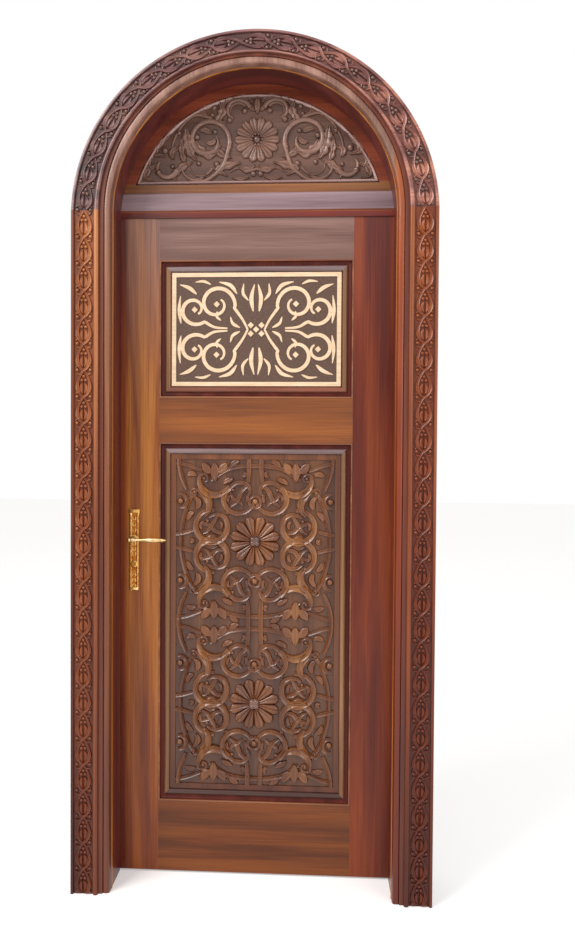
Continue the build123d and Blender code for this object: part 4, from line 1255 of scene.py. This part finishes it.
# Panel mouldings with rounded sections, mitred at the corners
moulding = {
    "lip": 5.0, "lipProud": 2.0, "cove": 14.0, "coveHeight": 5.0, "coveDrop": 4.0, "coveLap": 1.2,
    "roll": 18.0, "rollHeight": 13.0, "flatHeight": 4.0, "flatWidth": {"upper": 3.0, "lower": 19.0},
    "depth": {"front": 16.0, "back": 12.0},
}


# From the outer edge: lip, cove, roll and flat
def mouldingSections(depth, flat):
    lip, cove, roll = moulding["lip"], moulding["cove"], moulding["roll"]
    coveHeight, level = moulding["coveHeight"], moulding["flatHeight"]
    top = depth + moulding["lipProud"]
    lipPart = [
        (0, 0), (0, top - 1.2), (0.6, top - 0.3), (1.6, top), (lip - 1.4, top), (lip - 0.4, top - 0.4),
        (lip, top - 1.4), (lip, 0),
    ]
    brim, reach = top - moulding["coveDrop"], cove + moulding["coveLap"]
    covePart = [(lip - 0.2, 0), (lip - 0.2, brim)]
    for a in np.linspace(0.15, math.pi / 2, 7):
        dip = (brim - coveHeight) * (1 - math.sin(a))
        covePart.append((lip + reach * (1 - math.cos(a)), coveHeight + dip))
    covePart.append((lip + reach, 0))
    start, end = lip + cove, lip + cove + roll
    rollPart = [(start, 0)]
    for a in np.linspace(0.12, math.pi - 0.02, 15):
        rise = (moulding["rollHeight"] - level) * math.sin(a) ** 0.85
        rollPart.append((start + roll / 2 * (1 - math.cos(a)), level + rise))
    rollPart.append((end, 0))
    begin, width = end - 0.4, end + flat
    flatPart = [
        (begin, 0), (begin, level - 1.4), (begin + 1.6, level), (width - 0.6, level), (width, level - 0.8),
        (width, 0),
    ]
    return lipPart, covePart, rollPart, flatPart


def mouldingFrame(low, high, depth, flat, face, out):
    half = door["openingHalf"]
    corners = [(-1, low, 1), (1, low, 1), (1, high, -1), (-1, high, -1)]
    # finishes of the level and the upright lengths: copies lit and shaded by depth, the level roll with painted
    # sky reflection
    finishes = ((lipTimber,) * 2, (coveTimber,) * 2, (rollRailTimber, rollTimber), (flatTimber,) * 2)
    parts = []
    for section, finish in zip(mouldingSections(depth, flat), finishes):
        rings = [[(sx * (half - d), face + out * h, z + sz * d) for d, h in section] for sx, z, sz in corners]
        for side in range(4):
            length = lofted("moulding", [rings[side], rings[(side + 1) % 4]])
            parts.append((length, plain, finish[side % 2]))
    return parts


for opening, (low, high) in door["openings"].items():
    for face, y, out in (("front", door["panelFront"], -1), ("back", door["panelBack"], 1)):
        makePiece(
            opening + face.capitalize() + "Moulding",
            mouldingFrame(low, high, moulding["depth"][face], moulding["flatWidth"][opening], y, out),
            "leaf",
            [f"{opening}_{face}_moulding_{side}" for side in ("bottom", "left", "top", "right")],
            30.0,
        )
print("mouldings run")


# Plaque: symmetrical arabesque of pale cut-outs, in bold strokes that swell and taper
plaque = {"centre": 1828.5, "stroke": 13.0, "height": 3.0, "tileSpread": 3.6, "peak": 0.4}


def strokeLine(points, start, middle, end):
    count = len(points)
    t, peak = np.linspace(0, 1, count), plaque["peak"]
    swell = start + (middle - start) * np.sin(t / peak * math.pi / 2)
    taper = end + (middle - end) * np.cos((t - peak) / (1 - peak) * math.pi / 2)
    return np.array(points, float), np.zeros(count), np.where(t < peak, swell, taper)


def plaqueLines():
    innerScroll = [flow([(28, 0), (46, 34), (78, 78)], 12)[:-1], spiral(132, 84, 62, 20, 186, -230, 44)]
    outerScroll = [flow([(96, 4), (140, 8), (172, 26)], 12)[:-1], spiral(206, 66, 52, 18, 232, 590, 44)]
    quarter = [
        (np.vstack(innerScroll), 0.5, 1.0, 0.5),
        (np.vstack(outerScroll), 0.4, 1.0, 0.5),
        (flow([(200, 118), (224, 138), (256, 150)], 16), 0.3, 1.0, 0.15),
        (flow([(252, 20), (258, 66), (254, 112)], 16), 0.2, 0.9, 0.2),
        (flow([(64, 118), (86, 146), (124, 158)], 16), 0.2, 1.0, 0.2),
        (flow([(10, 60), (16, 104), (6, 150)], 18), 0.3, 1.1, 0.2),
        (flow([(26, 96), (44, 120), (42, 152)], 16), 0.2, 0.8, 0.2),
        (flow([(152, 150), (176, 160), (204, 158)], 14), 0.2, 0.7, 0.2),
        (flow([(118, 30), (132, 44), (130, 60)], 12), 0.2, 0.7, 0.3),
        (flow([(54, 6), (78, 20), (86, 42)], 12), 0.2, 0.8, 0.2),
    ]
    lines = []
    for u in (1, -1):
        for v in (1, -1):
            for points, start, middle, end in quarter:
                lines.append(strokeLine(mirrored(points, u, v), start, middle, end))
    return lines


def tileShape(name):
    spread = plaque["tileSpread"]
    steps = [(spread, -0.1), (spread, 0.8), (0.94 * spread, 1.0)]
    rings = [[(0, s, h), (s, 0, h), (0, -s, h), (-s, 0, h)] for s, h in steps]
    return linked(name, lofted(name, rings))


diamondShape = tileShape("diamondShape")
tiles = [(0, 0, 0.0, plaque["height"])]
for u in (1, -1):
    for v in (1, -1):
        tiles += [(u * a, v * b, 0.0, plaque["height"]) for a, b in ((132, 84), (206, 66), (18, 14))]
plaquePlace = facing(door["plaqueFace"], 0, plaque["centre"])
makePiece(
    "plaqueArabesque",
    [
        sweep(
            "plaqueLines", plaqueLines(), flatProfile, plaque["stroke"], plaque["height"] / 1.1,
            plaquePlace, gilt,
        ),
        dotCloud("plaqueTiles", tiles, diamondShape, plaquePlace, gilt),
    ],
    "leaf", ["plaque_scrollwork"],
)
print("plaque laid")


# Lever handles: turned baluster levers on long cast backplates
handle = {
    "x": -405.0, "z": 1128.0, "standoff": 46.0, "plateThick": 8.0, "leverBack": 15.0,
    "plateLow": 954.0, "plateTop": 1228.0, "plateHalf": 15.0, "capHalf": 18.0, "keyZ": 1043.0,
    "beadPitch": 6.2, "beadReach": 11.4, "beadSeat": 5.0, "bead": 2.9,
}


def turned(bag, profile, start, direction, sides=24):
    direction = Vector(direction).normalized()
    across = direction.orthogonal().normalized()
    other = direction.cross(across)
    rings = []
    for along, radius in profile:
        middle = Vector(start) + direction * along
        rings.append([middle + (across * math.cos(a) + other * math.sin(a)) * radius for a in circle(sides)])
    loft(bag, rings)


def leverMesh(faceY, out):
    bag = newBag()
    knots = [
        (0.0, 0.6), (0.9, 3.2), (3.4, 5.9), (6.8, 7.0), (10.2, 5.9), (12.4, 4.6), (14.0, 6.2), (15.6, 7.4),
        (24.0, 7.6), (25.6, 6.2), (27.0, 4.6), (30.0, 4.2), (46.0, 4.9), (64.0, 6.6), (80.0, 8.1),
        (88.0, 8.4),
        (98.0, 7.9), (110.0, 6.3), (113.0, 5.4), (114.2, 6.6), (117.0, 6.9), (119.4, 6.0), (120.6, 4.8),
        (124.0, 4.2), (128.0, 2.6), (130.4, 0.8),
    ]
    axisY = faceY + out * handle["standoff"]
    turned(bag, knots, (handle["x"] - handle["leverBack"], axisY, handle["z"]), (1, 0, 0))
    surface = handle["plateThick"] + 0.3
    neck = [
        (0, 9.0), (1.6, 9.0), (3.0, 7.6), (4.4, 6.6), (12, 5.6), (22, 5.8), (27, 7.0), (29, 8.0), (31, 7.0),
    ]
    neck = [(surface + along, radius) for along, radius in neck] + [(handle["standoff"], 6.0)]
    turned(bag, neck, (handle["x"], faceY, handle["z"]), (0, out, 0), 20)
    return bagMesh("lever", bag)


# Plate outline as half widths up its height, then its cap, foot, bosses and leaves
def plateMesh():
    bag = newBag()
    low, top, key = (handle[name] - handle["z"] for name in ("plateLow", "plateTop", "keyZ"))
    half, cap = handle["plateHalf"], handle["capHalf"]
    rows = [
        (low, half - 3), (low + 2, half - 0.8), (low + 6, half), (top - 26, half), (top - 20, half + 0.6),
        (top - 15, cap - 0.6), (top - 12, cap), (top - 3, cap), (top - 1, cap - 1), (top, cap - 3),
    ]
    rim = [(-1.0, 0.0), (-1.0, 4.6), (-0.94, 5.6), (-0.78, 6.2), (-0.62, 5.4), (-0.5, 3.8)]
    section = rim + [(-share, h) for share, h in reversed(rim)]
    loft(bag, [[(share * wide, v, h) for share, h in section] for v, wide in rows])
    capRows = [
        (top - 15, 16.5, 5.0), (top - 12, 17.6, 7.6), (top - 6, 17.8, 8.0), (top - 2, 17.6, 7.4),
        (top - 0.3, 16.6, 5.0),
    ]
    footRows = [(low, 12.0, 4.5), (low + 2, 14.2, 7.0), (low + 9, 14.6, 7.6), (low + 11, 14.0, 6.0)]
    for share, blocks in ((0.8, capRows), (0.75, footRows)):
        loft(bag, [
            [(-w, v, 0), (-w, v, h - 1.5), (-w * share, v, h), (w * share, v, h), (w, v, h - 1.5), (w, v, 0)]
            for v, w, h in blocks
        ])
    turned(bag, [(2.0, 12.5), (6.4, 12.5), (7.6, 11.4), (8.0, 9.6)], (0, 0, 0), (0, 0, 1), 28)
    turned(bag, [(2.0, 12.0), (5.6, 12.0), (7.0, 11.0), (7.6, 9.4)], (0, key, 0), (0, 0, 1), 28)
    upward = [(base, 6, 14) for base in (-24, -41, -58, 22, 42, 62)]
    downward = [(base, -6, -12) for base in (-116, -133, -150)]
    for base, middle, tip in upward + downward:
        for side in (1, -1):
            spine = flow([(side * 1.2, base), (side * 5.4, base + middle), (side * 4.2, base + tip)], 10)
            blade(bag, spine, leafWidths(10, 4.4, 0.5), 6.8, 0.1, across=5, floor=2.5)
    return bagMesh("plate", bag)


# Two columns of beads on the rims of the plate, open at the lever and the key
def plateBeads():
    rows = []
    for z in np.arange(handle["plateLow"] + 16, handle["plateTop"] - 22, handle["beadPitch"]):
        if abs(z - handle["z"]) > 11 and abs(z - handle["keyZ"]) > 10:
            place = (z - handle["z"], handle["beadSeat"], handle["bead"])
            rows += [(side * handle["beadReach"], *place) for side in (1, -1)]
    return rows


for sideName, faceY, out, place, brass in (
    ("front", door["leafFront"], -1, facing, frontPlateBrass),
    ("back", door["leafBack"], 1, facingBack, backPlateBrass),
):
    spot = place(faceY, handle["x"], handle["z"])
    makePiece(
        sideName + "Plate",
        [(plateMesh(), spot, brass), dotCloud("plateBeads", plateBeads(), berryShape, spot, brass)],
        "leaf", [sideName + "_backplate"], 35.0,
    )
    makePiece(
        sideName + "LeverTurning", [(leverMesh(faceY, out), plain, leverBrass)],
        "handle", [sideName + "_lever"], 35.0,
    )
print("handles turned")


# Countersunk screws in the hinge plates, the forend and the strike
screws = {
    "radius": 3.8, "frameEdge": 465.0, "leafEdge": 461.0,
    "hingeHeights": (250.0, 1100.0, 1950.0),
    "hingePlate": ((52.0, 45.0), (66.0, 15.0), (66.0, -15.0), (52.0, -45.0)),
    "lockPlate": ((52.75, 1190.0), (52.75, 996.0)),
}


def screwShape(name):
    bag = newBag()
    steps = ((0.98, -0.3), (1.0, 0.02), (0.92, 0.08), (0.3, 0.09))
    loft(bag, [[(r * math.cos(a), r * math.sin(a), h) for a in circle(12)] for r, h in steps])
    corners = ((-0.6, -0.09), (0.6, -0.09), (0.6, 0.09), (-0.6, 0.09))
    for bar in (corners, [(-y, x) for x, y in corners]):
        loft(bag, [[(x, y, h) for x, y in bar] for h in (0.05, 0.115)])
    return linked(name, bagMesh(name, bag))


screwHead = screwShape("screwHead")
towardsLeft = Matrix.Rotation(-math.pi / 2, 4, "Z") @ facing(0)
towardsRight = Matrix.Rotation(math.pi / 2, 4, "Z") @ facing(0)
hingeSpots = [(u, height + rise) for height in screws["hingeHeights"] for u, rise in screws["hingePlate"]]
for name, body, x, turnTo, flip, spots in (
    ("frameHingeScrews", "frame", screws["frameEdge"], towardsLeft, -1, hingeSpots),
    ("leafHingeScrews", "leaf", screws["leafEdge"], towardsRight, 1, hingeSpots),
    ("strikeScrews", "frame", -screws["frameEdge"], towardsRight, 1, screws["lockPlate"]),
    ("forendScrews", "leaf", -screws["leafEdge"], towardsLeft, -1, screws["lockPlate"]),
):
    place = Matrix.Translation((x * mm, 0, 0)) @ turnTo
    rows = [(flip * u, v, 0.0, screws["radius"]) for u, v in spots]
    makePiece(name, [dotCloud(name, rows, screwHead, place, hingeSteel)], body)
print("screws set")

for helper in (
    rimmedProfile, roundProfile, flatProfile, boardProfile, noseProfile,
    berryShape, diamondShape, screwHead, lunettePetal, strapPetal,
):
    bpy.data.objects.remove(helper)

# Camera at the photograph's angle, in a frame of 575 by 936
view = {
    "place": (204.2, -2629.75, 1425.1), "yaw": 3.324, "pitch": -1.226, "roll": 0.347,
    "focal": 802.34, "centre": 270.0, "imageWidth": 575, "imageHeight": 936, "sensor": 36.0,
}
yaw, pitch, roll = (math.radians(view[key]) for key in ("yaw", "pitch", "roll"))
ahead = Vector((-math.sin(yaw) * math.cos(pitch), math.cos(yaw) * math.cos(pitch), math.sin(pitch)))
right = Vector((math.cos(yaw), math.sin(yaw), 0))
up = right.cross(ahead)
turnMatrix = Matrix((right, up, -ahead)).transposed().to_4x4() @ Matrix.Rotation(roll, 4, "Z")
lens = bpy.data.cameras.new("photoCamera")
lens.sensor_fit = "AUTO"
lens.sensor_width = view["sensor"]
lens.lens = view["focal"] / view["imageHeight"] * view["sensor"]
lens.shift_x = (view["imageWidth"] / 2 - view["centre"]) / view["imageHeight"]
lens.clip_end = 60.0
camera = linked("photoCamera", lens)
camera.matrix_world = Matrix.Translation(Vector(view["place"]) * mm) @ turnMatrix
scene.camera = camera

# Floor, soft lights and a pale surround
stage = {
    "floor": "#f6f5f3", "reach": 20, "drop": 0.0005, "glow": 0.3, "surround": 0.7, "aim": (0, 0, 1.3),
    "panels": {"skyPanel": ((-2.8, -2.7, 4.4), 2.4, 190.0), "fillPanel": ((3.2, -3.6, 2.2), 2.6, 60.0)},
}


# One for what the camera sees, also in a mirroring or clear surface
def seenRays(tree):
    path = addNode(tree, "ShaderNodeLightPath")
    seen = path.outputs["Is Camera Ray"]
    for kind in ("Is Glossy Ray", "Is Transmission Ray"):
        pair = {0: seen, 1: path.outputs[kind]}
        larger = addNode(tree, "ShaderNodeMath", {"operation": "MAXIMUM"}, links=pair)
        seen = larger.outputs[0]
    return seen


floorMaterial, tree = newMaterial("palePaintedFloor")
glow = addNode(tree, "ShaderNodeMath", {"operation": "MULTIPLY"}, {1: stage["glow"]}, {0: seenRays(tree)})
surfaced(
    tree,
    {
        "Base Color": toLinear(stage["floor"]), "Roughness": 0.9, "Specular IOR Level": 0.1,
        "Emission Color": (1, 1, 1, 1),
    },
    {"Emission Strength": glow.outputs[0]},
)
bag = newBag()
bag["verts"] = [(stage["reach"] * u, stage["reach"] * v, 0) for u, v in ((-1, -1), (1, -1), (1, 1), (-1, 1))]
bag["faces"] = [(0, 1, 2, 3)]
floor = linked("floor", bagMesh("floor", bag))
floor.data.materials.append(floorMaterial)
floor.location.z = -stage["drop"]

for name, (place, size, power) in stage["panels"].items():
    lamp = bpy.data.lights.new(name, "AREA")
    lamp.size = size
    lamp.energy = power
    holder = linked(name, lamp)
    aim = Vector(stage["aim"]) - Vector(place)
    holder.matrix_world = Matrix.Translation(place) @ aim.to_track_quat("-Z", "Y").to_matrix().to_4x4()

world = bpy.data.worlds.new("paleSurround")
world.use_nodes = True
world.node_tree.nodes.clear()
scene.world = world
tree = world.node_tree
strength = addNode(
    tree, "ShaderNodeMapRange", values={3: stage["surround"], 4: 1.0}, links={0: seenRays(tree)},
)
background = addNode(
    tree, "ShaderNodeBackground",
    values={"Color": (1, 1, 1, 1)}, links={"Strength": strength.outputs[0]},
)
addNode(tree, "ShaderNodeOutputWorld", links={"Surface": background.outputs[0]})
scene.view_settings.view_transform = "Standard"
print("camera and light set")
